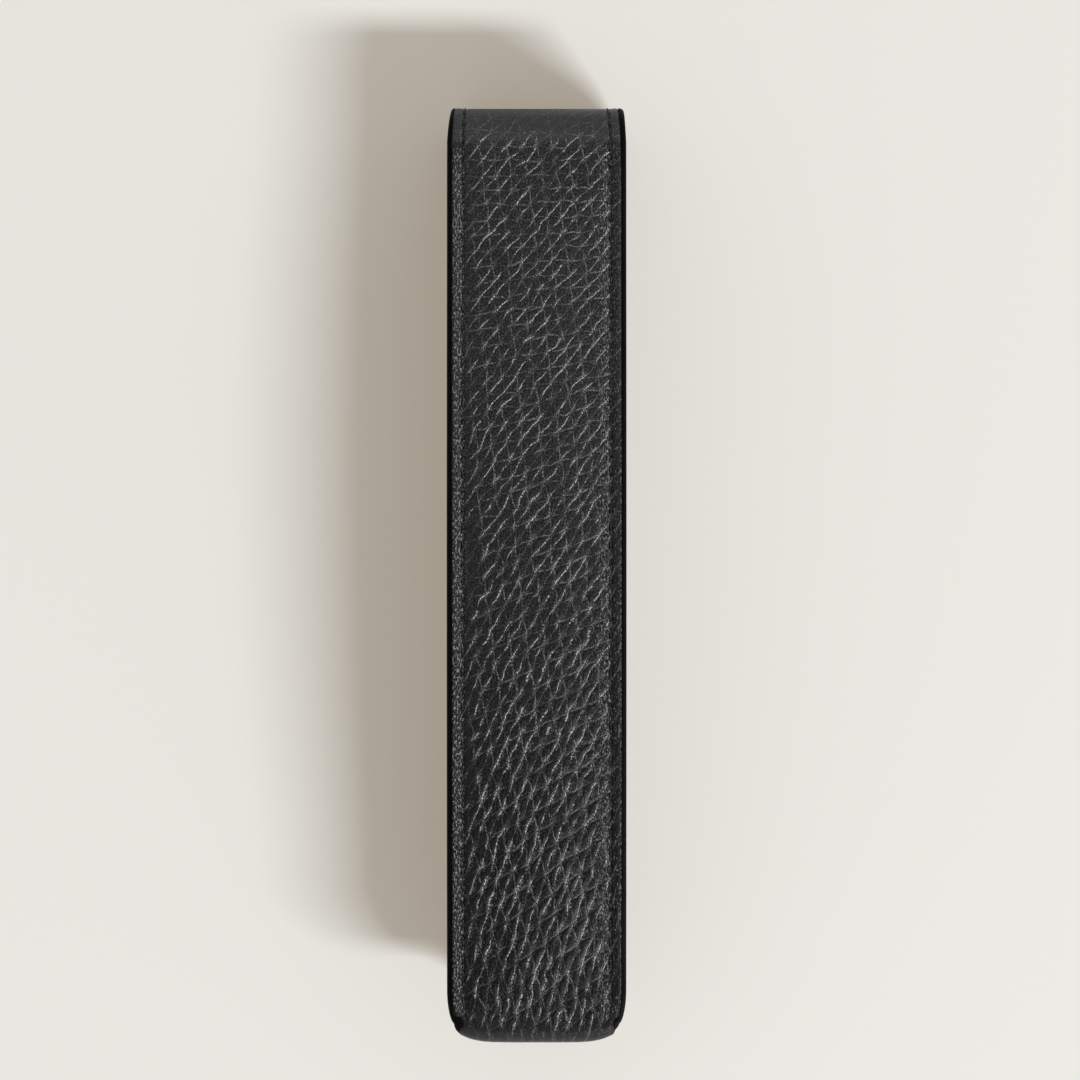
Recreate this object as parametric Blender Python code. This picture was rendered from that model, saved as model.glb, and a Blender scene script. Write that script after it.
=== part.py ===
"""Leather case for one fountain pen, lying on its front with its plain back upwards.

One leather strip makes the back, turns round the closed end and comes up the front as a formed
trough, and the two are sewn together down both sides. Past the pocket's mouth the back turns over the
top as a fold and becomes the flap, which a hidden magnet holds against the front.

The frame is in metres: +X across the case, +Y towards the fold, +Z up out of the back. The origin is on
the table, under the middle of the case.
"""

import math

import bmesh
import bpy
from mathutils import Vector

MM = 0.001

# Overall size
CASE_LENGTH = 160 * MM
CASE_WIDTH = 30.6 * MM
TOP_HEIGHT = 19 * MM
FOOT_HEIGHT = 18.6 * MM
BACK_BOW = 3.8 * MM

# Sheet materials and the glue line between them
LEATHER = 1.2 * MM
LINING = 0.4 * MM
BOARD = 0.4 * MM
GLUE = 0.2 * MM
PAINT = 0.55 * MM

# Side seams
SEAM_INSET = 2.7 * MM
STITCH_PITCH = 3.04 * MM
THREAD = 0.4 * MM
THREAD_WAVE = 0.06 * MM
THREAD_CLEARANCE = 0.12 * MM
GROOVE_WIDTH = 0.9 * MM
GROOVE_DEPTH = 0.6 * MM
SEAM_END = 7 * MM

# Crowned back
CROWN = 0.8 * MM
CROWN_ROLL = 9 * MM
CROWN_FADE = 14 * MM
PAD_CROWN = 0.8

# Formed front
MOUTH_DROP = 18 * MM
MOUTH_SEAM_INSET = 2.7 * MM
TROUGH_CORNER = 6 * MM
FLANGE_FILLET = 1 * MM
FLANGE_FLAT = 0.4 * MM
FOOT_TAPER = 6 * MM
FLAP_RAMP = 14 * MM
FLAP_SEAT = 0.3 * MM

# Closed end
FOOT_RADIUS = 2.6 * MM
FOOT_HALF_WIDTH = 12.7 * MM
FOOT_CORNER = 6.5 * MM
FOOT_BOW = 1.2 * MM
FOOT_BOW_REACH = 9 * MM
FOOT_BOW_POWER = 6

# Fold and flap
FOLD_RADIUS = 6 * MM
FLAP_INSET = 1 * MM
FLAP_REACH = 48 * MM
FLAP_TIP_RADIUS = 7 * MM
FLAP_BOARD_INSET = 4.2 * MM
HINGES = 4
FLAP_SWING = 180

# Magnet in the flap and its steel keeper in the front
DISC_RADIUS = 4.6 * MM
MAGNET = 1.0 * MM
KEEPER = 0.5 * MM
DISC_FROM_TIP = 14 * MM
DISC_SIDES = 24

# Spacing of the rows of points along the case
TURN_STEP = 1.2 * MM
RAMP_STEP = 3 * MM
TAPER_STEP = 1.2 * MM
STRAP_STEP = 6 * MM
FLAP_STEP = 12 * MM
BACK_STEP = 17 * MM
FRONT_STEP = 20 * MM

# The paint's rounding, as a share of its width and height, and its places round the closed end's side
BEAD_ROUND = 0.6
PAINT_END_ANGLES = (30, 60)

# Worked out from the sizes above
STACK = 2 * LEATHER + 2 * LINING + 3 * GLUE
FLAP_STACK = LEATHER + BOARD + LINING + 2 * GLUE
FRONT_WALL = LEATHER + GLUE + LINING
HALF_WIDTH = CASE_WIDTH / 2
EDGE = HALF_WIDTH - PAINT - GLUE
FLAP_WIDTH = CASE_WIDTH - 2 * FLAP_INSET
FLAP_EDGE = FLAP_WIDTH / 2 - PAINT - GLUE
SEAM_X = HALF_WIDTH - SEAM_INSET
FLANGE_X = SEAM_X - GROOVE_WIDTH / 2 - FLANGE_FLAT
WALL_X = FLANGE_X - FLANGE_FILLET
PLATEAU_X = WALL_X - TROUGH_CORNER
FOLD_Y = CASE_LENGTH / 2 - FOLD_RADIUS
FOOT_Y = -CASE_LENGTH / 2
FOOT_TURN_Y = FOOT_Y + FOOT_RADIUS
MOUTH_Y = CASE_LENGTH / 2 - MOUTH_DROP
SEAM_END_Y = FOOT_Y + SEAM_END
FLAP_TIP_Y = FOLD_Y - FLAP_REACH
DISC_Y = FLAP_TIP_Y + DISC_FROM_TIP
RAMP_Y = FLAP_TIP_Y - FLAP_RAMP
TROUGH_Y = FOOT_TURN_Y + FOOT_TAPER
HINGE_SWING = math.radians(FLAP_SWING) / HINGES
UPPER_BEND = (FOLD_Y, TOP_HEIGHT - FOLD_RADIUS)
LOWER_BEND = (FOLD_Y, FOLD_RADIUS)

LEATHER_BLACK = ("black_grain_leather", (0.024, 0.024, 0.025), 0.5)
LINING_BLACK = ("black_lining", (0.018, 0.018, 0.019), 0.7)
BOARD_GREY = ("grey_board", (0.25, 0.24, 0.22), 0.8)
PAINT_BLACK = ("black_edge_paint", (0.006, 0.006, 0.006), 0.3)
THREAD_BLACK = ("black_thread", (0.012, 0.012, 0.012), 0.6)
MAGNET_NICKEL = ("nickel_plate", (0.55, 0.54, 0.52), 0.3)


def ease(value, low, high):
    """0 up to low, 1 from high on, and a smooth rise between them."""
    t = min(1.0, max(0.0, (value - low) / (high - low)))
    return t * t * (3 - 2 * t)


def between(a, b, share):
    return a + (b - a) * share


def spaced(first, last, step):
    """Places from first to last, evenly spaced by about step."""
    count = max(1, round(abs(last - first) / step))
    return [between(first, last, i / count) for i in range(count + 1)]


def material(finish):
    name, colour, roughness = finish
    made = bpy.data.materials.get(name)
    if made is None:
        made = bpy.data.materials.new(name)
        made.use_nodes = True
        shader = made.node_tree.nodes["Principled BSDF"]
        shader.inputs["Base Color"].default_value = (*colour, 1)
        shader.inputs["Roughness"].default_value = roughness
        shader.inputs["Metallic"].default_value = 1.0 if finish is MAGNET_NICKEL else 0.0
    return made


def place(name, data, finish, hinge):
    """An object whose data is in world places, hung on its hinge's empty if it has one."""
    data.materials.append(material(finish))
    made = bpy.data.objects.new(name, data)
    bpy.context.scene.collection.objects.link(made)
    if hinge is not None:
        made.parent = hinge
        made.matrix_parent_inverse.identity()
    return made


def origin_of(hinge):
    """The world place of a hinge's empty, or of the frame."""
    place_now = Vector((0, 0, 0))
    while hinge is not None:
        place_now += hinge.location
        hinge = hinge.parent
    return place_now


def mesh_piece(name, points, faces, finish, hinge=None):
    shift = origin_of(hinge)
    mesh = bpy.data.meshes.new(name)
    mesh.from_pydata([Vector(p) - shift for p in points], [], faces)
    work = bmesh.new()
    work.from_mesh(mesh)
    bmesh.ops.recalc_face_normals(work, faces=work.faces)
    if work.calc_volume(signed=True) < 0:
        bmesh.ops.reverse_faces(work, faces=work.faces)
    work.to_mesh(mesh)
    work.free()
    mesh.shade_smooth()
    mesh.set_sharp_from_angle(angle=math.radians(40))
    return place(name, mesh, finish, hinge)


def sheet(name, face, back, finish, hinge=None):
    """A closed sheet between two grids of points with the same rows and columns. Each cell is split along
    the same diagonal on both faces, so that layers laid on each other keep their gap."""
    rows = len(face)
    columns = len(face[0])
    points = [p for row in face for p in row] + [p for row in back for p in row]
    under = rows * columns

    def corner(row, column):
        return row * columns + column

    faces = []
    for r in range(rows - 1):
        for c in range(columns - 1):
            a, b = corner(r, c), corner(r, c + 1)
            d, e = corner(r + 1, c), corner(r + 1, c + 1)
            left = 2 * c + 1 < columns
            halves = ((a, b, d), (b, e, d)) if left else ((a, b, e), (a, e, d))
            for half in halves:
                faces.append(half)
                faces.append([under + i for i in reversed(half)])
    rim = [corner(0, c) for c in range(columns)]
    rim += [corner(r, columns - 1) for r in range(1, rows)]
    rim += [corner(rows - 1, c) for c in range(columns - 2, -1, -1)]
    rim += [corner(r, 0) for r in range(rows - 2, 0, -1)]
    for a, b in zip(rim, rim[1:] + rim[:1]):
        faces.append([b, a, under + a, under + b])
    return mesh_piece(name, points, faces, finish, hinge)


def disc(name, radius, centre, low, high, finish, hinge=None):
    """A flat round disc about a vertical axis."""
    sides = DISC_SIDES
    ring = [2 * math.pi * i / sides for i in range(sides)]
    points = []
    for z in (low, high):
        points += [(centre[0] + radius * math.cos(a), centre[1] + radius * math.sin(a), z) for a in ring]
    faces = [list(range(sides)), list(range(sides, 2 * sides))]
    faces += [[i, (i + 1) % sides, sides + (i + 1) % sides, sides + i] for i in range(sides)]
    return mesh_piece(name, points, faces, finish, hinge)


def cut(piece, cutter):
    """Takes the cutter, which stays as a hidden helper, out of the piece."""
    cutter.hide_render = True
    cutter.display_type = "WIRE"
    change = piece.modifiers.new("cut_" + cutter.name, "BOOLEAN")
    change.operation = "DIFFERENCE"
    change.solver = "EXACT"
    change.object = cutter


def thread(name, path, hinge=None):
    """One unbroken thread along a path, as a slim tube."""
    shift = origin_of(hinge)
    curve = bpy.data.curves.new(name, "CURVE")
    curve.dimensions = "3D"
    curve.bevel_depth = THREAD / 2
    curve.bevel_resolution = 0
    curve.use_fill_caps = True
    line = curve.splines.new("POLY")
    line.points.add(len(path) - 1)
    for point, spot in zip(line.points, path):
        point.co = (*(Vector(spot) - shift), 1)
    return place(name, curve, THREAD_BLACK, hinge)


def stitched(path_at, length):
    """Two points a stitch: down at the needle hole and up at the middle of the stitch.
    path_at(distance, lift) gives the place of the thread's middle, lift above the groove's floor."""
    floor = THREAD_CLEARANCE + THREAD / 2
    halves = 2 * max(1, int(length / STITCH_PITCH))
    spare = (length - halves * STITCH_PITCH / 2) / 2
    lifts = (floor, floor + THREAD_WAVE)
    return [path_at(spare + i * STITCH_PITCH / 2, lifts[i % 2]) for i in range(halves + 1)]


# The back's height and the seam's levels

def back_height(y):
    """The grain side of the back along its middle."""
    t = (y - FOOT_Y) / (FOLD_Y - FOOT_Y)
    return between(FOOT_HEIGHT, TOP_HEIGHT, t) + BACK_BOW * 4 * t * (1 - t)


def crown(y):
    """How far the back stands above its sewn margins at this place along the case."""
    from_foot = ease(y, FOOT_TURN_Y, FOOT_TURN_Y + CROWN_FADE)
    to_mouth = 1 - ease(y, MOUTH_Y - CROWN_FADE / 2, MOUTH_Y + CROWN_FADE / 2)
    return CROWN * from_foot * to_mouth


def crown_rise(x, y):
    return crown(y) * (1 - ease(abs(x), FLANGE_X - CROWN_ROLL, FLANGE_X))


def margin_top(y):
    return back_height(y) - crown(y)


def flange_level(y):
    """The grain side of the front's sewn margin. Past the seam's end it spreads to the turn's height."""
    spread = (2 * FOOT_RADIUS - STACK) * (1 - ease(y, FOOT_TURN_Y, SEAM_END_Y))
    return margin_top(y) - STACK - spread


def half_width(y):
    """The strip's half width, which the closed end's rounded corners draw in."""
    down = min(1.0, max(0.0, (FOOT_TURN_Y + FOOT_CORNER - y) / FOOT_CORNER))
    return EDGE - (EDGE - FOOT_HALF_WIDTH) * (1 - math.sqrt(1 - down * down))


def foot_bow(x, y):
    """The closed end bows: its corners stand back from its middle."""
    near = 1 - ease(y, FOOT_TURN_Y, FOOT_TURN_Y + FOOT_BOW_REACH)
    return FOOT_BOW * near * min(1.0, abs(x) / half_width(y)) ** FOOT_BOW_POWER


def drawn_in(flat_x, y):
    """Where a place of the strip, laid flat, comes to lie: (x, y) with the closed end's corners."""
    x = flat_x * half_width(y) / EDGE
    return x, y + foot_bow(x, y)


def mirrored(half):
    """A row from the left edge to the right one, out of its right half from the middle outwards."""
    return [(-x, y, z) for x, y, z in reversed(half[1:])] + half


def flat_columns():
    """Where the strip's columns stand on a flat stretch, from the middle to the edge."""
    rolled = [between(PLATEAU_X, FLANGE_X, i / 6) for i in range(7)]
    groove = [SEAM_X - GROOVE_WIDTH / 2, SEAM_X - GROOVE_WIDTH / 4, SEAM_X + GROOVE_WIDTH / 4]
    return [0] + rolled + groove + [SEAM_X + GROOVE_WIDTH / 2, EDGE]


GROOVE_COLUMNS = (9, 10)


def grooved(column, y, last):
    """The depth of the stitch groove in this column."""
    return GROOVE_DEPTH if column in GROOVE_COLUMNS and SEAM_END_Y < y < last else 0.0


def back_rows(y):
    """One row of the back: its grain side and its flesh side."""
    grain = []
    flesh = []
    for column, flat_x in enumerate(flat_columns()):
        spot = drawn_in(flat_x, y)
        z = margin_top(y) + crown_rise(flat_x, y)
        grain.append((*spot, z - grooved(column, y, CASE_LENGTH)))
        flesh.append((*spot, z - LEATHER))
    return mirrored(grain), mirrored(flesh)


def plateau_height(y):
    """The trough's lowest line: on the table, and raised where the flap lies under it."""
    return (FLAP_STACK + FLAP_SEAT) * ease(y, RAMP_Y, FLAP_TIP_Y)


def front_half(y, depth, groove=0.0):
    """The right half of the front's cross-section, depth inside its grain side, in the strip's columns."""
    flange = flange_level(y)
    low = plateau_height(y)
    trough = ease(y - depth, FOOT_TURN_Y, TROUGH_Y)
    formed = [(0, low + depth)]
    for angle in (-90, -60, -30, 0):
        a = math.radians(angle)
        radius = TROUGH_CORNER - depth
        formed.append((PLATEAU_X + radius * math.cos(a), low + TROUGH_CORNER + radius * math.sin(a)))
    for angle in (180, 135, 90):
        a = math.radians(angle)
        radius = FLANGE_FILLET + depth
        formed.append((FLANGE_X + radius * math.cos(a), flange - FLANGE_FILLET + radius * math.sin(a)))
    flat = flat_columns()
    formed += [(x, flange + depth) for x in flat[len(formed):]]
    half = []
    for column, (x, z) in enumerate(formed):
        sunk = groove if column in GROOVE_COLUMNS else 0.0
        z = between(flange + depth, z, trough) + sunk
        half.append((*drawn_in(between(flat[column], x, trough), y), z))
    return half


def front_rows(y, mouth_groove=False):
    seam = GROOVE_DEPTH if SEAM_END_Y < y < MOUTH_Y else 0.0
    if mouth_groove:
        grain = front_half(y, GROOVE_DEPTH)
    else:
        grain = front_half(y, 0.0, seam)
    return mirrored(grain), mirrored(front_half(y, LEATHER))


def foot_turn_rows(angle):
    """One row of the strip where it turns round the closed end, angle from the back to the front."""
    middle = margin_top(FOOT_TURN_Y) - FOOT_RADIUS
    rows = []
    for radius in (FOOT_RADIUS, FOOT_RADIUS - LEATHER):
        half = []
        for flat_x in flat_columns():
            x, y = drawn_in(flat_x, FOOT_TURN_Y)
            half.append((x, y - radius * math.sin(angle), middle + radius * math.cos(angle)))
        rows.append(mirrored(half))
    return rows


# The fold over the top, as angles from the back's level: 0 on the back and 180 on the flap

def fold_point(x, angle, depth, bend=None):
    """A place on the fold, depth inside its grain side. The first bend serves up to 90 degrees. The fold
    draws in from the case's width to the flap's."""
    if bend is None:
        bend = UPPER_BEND if angle < math.pi / 2 else LOWER_BEND
    radius = FOLD_RADIUS - depth
    narrowed = x * between(1, FLAP_WIDTH / CASE_WIDTH, angle / math.pi)
    return (narrowed, bend[0] + radius * math.sin(angle), bend[1] + radius * math.cos(angle))


def hinge_angle(number):
    """The fold's angle at a hinge line, numbered from 1 at the back."""
    return (number - 0.5) * HINGE_SWING


HINGE_GAP_ANGLE = GLUE / 2 / FOLD_RADIUS


def fold_stations(first, last):
    """(angle, bend) pairs from one angle to another, through the straight wall between the bends."""
    right = math.pi / 2
    angles = spaced(first, last, HINGE_SWING / 3)
    if not first < right < last:
        return [(a, None) for a in angles]
    near = [(a, UPPER_BEND) for a in spaced(first, right, HINGE_SWING / 4)]
    return near + [(a, LOWER_BEND) for a in spaced(right, last, HINGE_SWING / 4)]


def strap_rows(stations, columns, low, high):
    """Rows over the fold between two depths, for a face and its back."""
    face = [[fold_point(x, a, low, bend) for x in columns] for a, bend in stations]
    back = [[fold_point(x, a, high, bend) for x in columns] for a, bend in stations]
    return face, back


def wide(half):
    return [-x for x in reversed(half[1:])] + half


FOLD_COLUMNS = wide([0, SEAM_X, HALF_WIDTH])


# Places along the case that every layer shares, so that layers never cross between them

def foot_stations():
    """From where crown and trough are full down to the turn round the closed end."""
    full = max(FOOT_TURN_Y + CROWN_FADE, TROUGH_Y)
    end = spaced(full, SEAM_END_Y + THREAD, TAPER_STEP)
    return end + [SEAM_END_Y - THREAD] + spaced(SEAM_END_Y - THREAD, FOOT_TURN_Y, TURN_STEP)[1:]


def back_stations():
    """Down the back from the fold to the turn round the closed end."""
    fade_first = MOUTH_Y + CROWN_FADE / 2
    fade_last = MOUTH_Y - CROWN_FADE / 2
    strap = spaced(FOLD_Y, fade_first, STRAP_STEP)[:-1] + spaced(fade_first, fade_last, CROWN_FADE / 4)
    foot = foot_stations()
    return strap + spaced(fade_last, foot[0], BACK_STEP)[1:-1] + foot


def front_stations():
    """Up the front from the turn round the closed end to the mouth's seam."""
    foot = list(reversed(foot_stations()))
    seam = MOUTH_Y - MOUTH_SEAM_INSET - GROOVE_WIDTH / 2
    up = foot + spaced(foot[-1], RAMP_Y, FRONT_STEP)[1:]
    up += spaced(RAMP_Y, FLAP_TIP_Y, RAMP_STEP)[1:]
    return up + spaced(FLAP_TIP_Y, seam, FRONT_STEP)[1:]


# Pieces of the body

def outer_strip():
    """Back, closed end and front, cut as one piece of leather."""
    stations = [hinge_angle(1) - HINGE_GAP_ANGLE, hinge_angle(1) / 2]
    columns = wide(flat_columns()[:-1] + [HALF_WIDTH])
    grooves = [GROOVE_DEPTH if c in GROOVE_COLUMNS else 0.0 for c in range(len(flat_columns()))]
    depths = list(reversed(grooves[1:])) + grooves
    grain = [[fold_point(x, a, d) for x, d in zip(columns, depths)] for a in stations]
    flesh = [[fold_point(x, a, LEATHER) for x in columns] for a in stations]
    turn = [math.pi * i / 6 for i in range(1, 6)]
    seam = MOUTH_Y - MOUTH_SEAM_INSET
    half = GROOVE_WIDTH / 2
    rows = [back_rows(y) for y in back_stations()]
    rows += [foot_turn_rows(a) for a in turn]
    rows += [front_rows(y) for y in front_stations()]
    rows += [front_rows(y, mouth_groove=True) for y in (seam - half / 2, seam + half / 2)]
    rows += [front_rows(y) for y in (seam + half, MOUTH_Y)]
    grain += [row[0] for row in rows]
    flesh += [row[1] for row in rows]
    strip = sheet("outer_strip", grain, flesh, LEATHER_BLACK)
    top = plateau_height(DISC_Y) + LEATHER
    cutter = disc("keeper_recess", DISC_RADIUS + GLUE, (0, DISC_Y), top - KEEPER - GLUE, top + GLUE,
                  LEATHER_BLACK)
    cut(strip, cutter)
    disc("keeper_plate", DISC_RADIUS, (0, DISC_Y), top - KEEPER, top, MAGNET_NICKEL)


def back_lining():
    """The lining behind the back, flat from side to side, up to the fold's first hinge line."""
    columns = wide([0, SEAM_X, EDGE])
    high = LEATHER + GLUE
    low = high + LINING
    stations = [(a, None) for a in (hinge_angle(1) - HINGE_GAP_ANGLE, hinge_angle(1) / 2)]
    face, back = strap_rows(stations, FOLD_COLUMNS, high, low)
    for y in back_stations():
        if y < SEAM_END_Y:
            break
        row = [drawn_in(x, y) for x in columns]
        face.append([(*spot, margin_top(y) - high) for spot in row])
        back.append([(*spot, margin_top(y) - low) for spot in row])
    sheet("back_lining", face, back, LINING_BLACK)


def back_padding():
    """The thin pad between back and lining that gives the back its crown."""
    side = FLANGE_X - CROWN_ROLL / 2
    columns = wide([0, side - CROWN_ROLL / 2, side - CROWN_ROLL / 4, side])
    face = []
    back = []
    for y in back_stations():
        if crown(y) < CROWN * PAD_CROWN:
            continue
        base = margin_top(y) - LEATHER
        face.append([(x, y, base + crown_rise(x, y) - GLUE) for x in columns])
        back.append([(x, y, base) for x in columns])
    sheet("back_padding", face, back, BOARD_GREY)


def front_lining():
    """The lining inside the formed front."""
    y_list = [y for y in front_stations() if y > SEAM_END_Y] + [MOUTH_Y]
    keep = [c for c in range(len(flat_columns())) if c not in (8, *GROOVE_COLUMNS, 11)]

    def row(y, depth):
        whole = front_half(y, depth)
        return mirrored([whole[c] for c in keep])

    face = [row(y, LEATHER + GLUE) for y in y_list]
    back = [row(y, FRONT_WALL) for y in y_list]
    sheet("front_lining", face, back, LINING_BLACK)


def bead_section(inner, outer, low, high):
    """The paint on a raw edge: flat on the leather and rounded outside, as (offset, height) pairs."""
    middle = (low + high) / 2
    shoulder = between(inner, outer, BEAD_ROUND)
    return [(inner, low), (shoulder, low), (outer, between(low, middle, BEAD_ROUND)),
            (outer, between(high, middle, BEAD_ROUND)), (shoulder, high), (inner, high)]


def tube_of(name, rings, finish, hinge=None):
    """A closed solid through rings of points, with flat ends."""
    count = len(rings[0])
    points = [p for ring in rings for p in ring]
    faces = [list(range(count)), list(range(len(points) - count, len(points)))]
    for r in range(len(rings) - 1):
        for i in range(count):
            j = (i + 1) % count
            faces.append([r * count + i, r * count + j, (r + 1) * count + j, (r + 1) * count + i])
    return mesh_piece(name, points, faces, finish, hinge)


def side_edge_paint(name, side):
    """The paint down one side: over the strap above the mouth, over the whole sewn stack, and round the
    side of the turn at the closed end."""
    rings = []
    places = [y for y in back_stations() if abs(y - MOUTH_Y) > PAINT]
    places = sorted(places + [MOUTH_Y + GLUE, MOUTH_Y - GLUE], reverse=True)
    for y in places:
        inner = half_width(y) + GLUE
        high = margin_top(y)
        low = high - FRONT_WALL if y > MOUTH_Y else flange_level(y)
        section = bead_section(inner, inner + PAINT, low, high)
        rings.append([(side * x, y + foot_bow(inner, y), z) for x, z in section])
    middle = margin_top(FOOT_TURN_Y) - FOOT_RADIUS
    for angle in PAINT_END_ANGLES:
        half = FOOT_RADIUS * math.cos(math.radians(angle))
        y = FOOT_TURN_Y - FOOT_RADIUS * math.sin(math.radians(angle))
        section = bead_section(inner, inner + PAINT, middle - half, middle + half)
        rings.append([(side * x, y + foot_bow(inner, FOOT_TURN_Y), z) for x, z in section])
    tube_of(name, rings, PAINT_BLACK)


def mouth_edge_paint():
    """The paint along the pocket's mouth, over the ends of the front leather and its lining."""
    face = []
    back = []
    for y in (MOUTH_Y + GLUE, MOUTH_Y + GLUE + PAINT):
        face.append([(x, y, z) for x, _, z in mirrored(front_half(MOUTH_Y, 0.0))])
        back.append([(x, y, z) for x, _, z in mirrored(front_half(MOUTH_Y, FRONT_WALL))])
    sheet("mouth_edge_paint", face, back, PAINT_BLACK)


def back_thread(name, side):
    """The needle thread down one side of the back."""
    length = FOLD_Y - SEAM_END_Y - THREAD

    def spot(distance, lift):
        y = FOLD_Y - distance
        return (*drawn_in(side * SEAM_X, y), margin_top(y) - GROOVE_DEPTH + lift)

    thread(name, stitched(spot, length))


def front_thread(name, side):
    """The bobbin thread down one side of the front, under the flange."""
    first = MOUTH_Y - MOUTH_SEAM_INSET - GROOVE_WIDTH
    length = first - SEAM_END_Y - THREAD

    def spot(distance, lift):
        y = first - distance
        return (*drawn_in(side * SEAM_X, y), flange_level(y) + GROOVE_DEPTH - lift)

    thread(name, stitched(spot, length))


def mouth_thread():
    """The row of stitches along the mouth, over the trough from wall to wall."""
    y = MOUTH_Y - MOUTH_SEAM_INSET
    floor = THREAD_CLEARANCE + THREAD / 2
    line = mirrored(front_half(y, GROOVE_DEPTH - floor)[:7])
    path = []
    for a, b in zip(line, line[1:]):
        path += [Vector(a).lerp(Vector(b), i / 2) for i in range(2)]
    thread("mouth_thread", path + [Vector(line[-1])])


# Pieces of the fold and of the flap

def hinge_empties():
    """One empty on each of the fold's hinge lines, each carried by the one before it."""
    made = []
    for number in range(1, HINGES + 1):
        empty = bpy.data.objects.new(f"fold_hinge_{number}", None)
        bpy.context.scene.collection.objects.link(empty)
        spot = Vector(fold_point(0, hinge_angle(number), 0))
        if made:
            empty.parent = made[-1]
            spot -= origin_of(made[-1])
        empty.location = spot
        made.append(empty)
    return made


def fold_slats(hinges):
    """The leather and lining between two hinge lines, once for each stretch of the fold."""
    for number in range(1, HINGES):
        first = hinge_angle(number) + HINGE_GAP_ANGLE
        last = hinge_angle(number + 1) - HINGE_GAP_ANGLE
        stations = fold_stations(first, last)
        hinge = hinges[number - 1]
        face, back = strap_rows(stations, FOLD_COLUMNS, 0, LEATHER)
        sheet(f"fold_leather_{number}", face, back, LEATHER_BLACK, hinge)
        face, back = strap_rows(stations, FOLD_COLUMNS, LEATHER + GLUE, FRONT_WALL)
        sheet(f"fold_lining_{number}", face, back, LINING_BLACK, hinge)


def flap_outline(inset):
    """The flap's right half outline, inset from its leather's edge, from the fold to the tip's middle."""
    radius = FLAP_TIP_RADIUS - inset
    side = FLAP_EDGE - inset
    centre_y = FLAP_TIP_Y + FLAP_TIP_RADIUS
    points = [(side, y) for y in spaced(FOLD_Y, centre_y, FLAP_STEP)]
    for i in range(1, 7):
        a = math.pi / 2 * i / 6
        points.append((side - radius + radius * math.cos(a), centre_y - radius * math.sin(a)))
    return points


def flap_sheet(name, low, high, finish, hinge, inset=0.0, over_fold=True):
    """A sheet of the flap between two levels, with its share of the fold's last bend."""
    half = [(FLAP_EDGE - inset) * i / 2 for i in range(3)]
    face = []
    back = []
    if over_fold:
        first = hinge_angle(HINGES) + HINGE_GAP_ANGLE
        stations = [(a, None) for a in (first, (first + math.pi) / 2)]
        face, back = strap_rows(stations, FOLD_COLUMNS, low, high)
    for side, y in flap_outline(inset):
        columns = [x * side / half[-1] for x in wide(half)]
        face.append([(x, y, low) for x in columns])
        back.append([(x, y, high) for x in columns])
    return sheet(name, face, back, finish, hinge)


def round_flap(inset):
    """The whole way round the flap, inset from its leather's edge, from one end of the fold to the other."""
    half = flap_outline(inset)
    return half + [(-x, y) for x, y in reversed(half)]


def flap_seam_cutter(hinge):
    """What the stitch groove takes out of the flap's grain side, running on past the flap's bend."""
    half = GROOVE_WIDTH / 2
    inset = SEAM_INSET - PAINT - GLUE
    rings = []
    inner = round_flap(inset + half)
    outer = round_flap(inset - half)
    low = -GROOVE_DEPTH
    high = GROOVE_DEPTH
    for a, b in zip(inner, outer):
        rings.append([(*a, low), (*b, low), (*b, high), (*a, high)])
    return tube_of("flap_seam_groove", rings, LEATHER_BLACK, hinge)


def along(line, distance):
    """The place that far along a line of (x, y) points."""
    for a, b in zip(line, line[1:]):
        step = math.dist(a, b)
        if distance <= step:
            return between(a[0], b[0], distance / step), between(a[1], b[1], distance / step)
        distance -= step
    return line[-1]


def flap_seam_thread(hinge):
    """The needle thread round the flap, sunk in its groove."""
    line = round_flap(SEAM_INSET - PAINT - GLUE)
    length = sum(math.dist(a, b) for a, b in zip(line, line[1:]))

    def spot(distance, lift):
        return (*along(line, distance + THREAD), GROOVE_DEPTH - lift)

    thread("flap_thread", stitched(spot, length - 2 * THREAD), hinge)


def flap_edge_paint(hinge):
    """The paint round the flap's raw edge."""
    rings = []
    section = bead_section(GLUE, GLUE + PAINT, 0.0, FLAP_STACK)
    for i in range(len(round_flap(0))):
        rings.append([(*round_flap(-offset)[i], z) for offset, z in section])
    tube_of("flap_edge_paint", rings, PAINT_BLACK, hinge)


def flap(hinge):
    """The flap's sheets, its magnet, its seam and its painted edge."""
    board_low = LEATHER + GLUE
    board_high = board_low + BOARD
    leather = flap_sheet("flap_leather", 0.0, LEATHER, LEATHER_BLACK, hinge)
    flap_sheet("flap_lining", board_high + GLUE, FLAP_STACK, LINING_BLACK, hinge)
    board = flap_sheet("flap_board", board_low, board_high, BOARD_GREY, hinge, FLAP_BOARD_INSET, False)
    bottom = board_high - MAGNET
    recess = disc("magnet_recess", DISC_RADIUS + GLUE, (0, DISC_Y), bottom - GLUE, board_high + GLUE / 2,
                  LEATHER_BLACK, hinge)
    cut(leather, flap_seam_cutter(hinge))
    cut(leather, recess)
    cut(board, recess)
    disc("flap_magnet", DISC_RADIUS, (0, DISC_Y), bottom, board_high, MAGNET_NICKEL, hinge)
    flap_seam_thread(hinge)
    flap_edge_paint(hinge)


def main():
    for thing in list(bpy.data.objects):
        bpy.data.objects.remove(thing)
    outer_strip()
    back_lining()
    back_padding()
    front_lining()
    mouth_edge_paint()
    mouth_thread()
    for word, side in (("left", -1), ("right", 1)):
        side_edge_paint(f"{word}_edge_paint", side)
        back_thread(f"{word}_back_thread", side)
        front_thread(f"{word}_front_thread", side)
    hinges = hinge_empties()
    fold_slats(hinges)
    flap(hinges[-1])


main()
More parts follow.
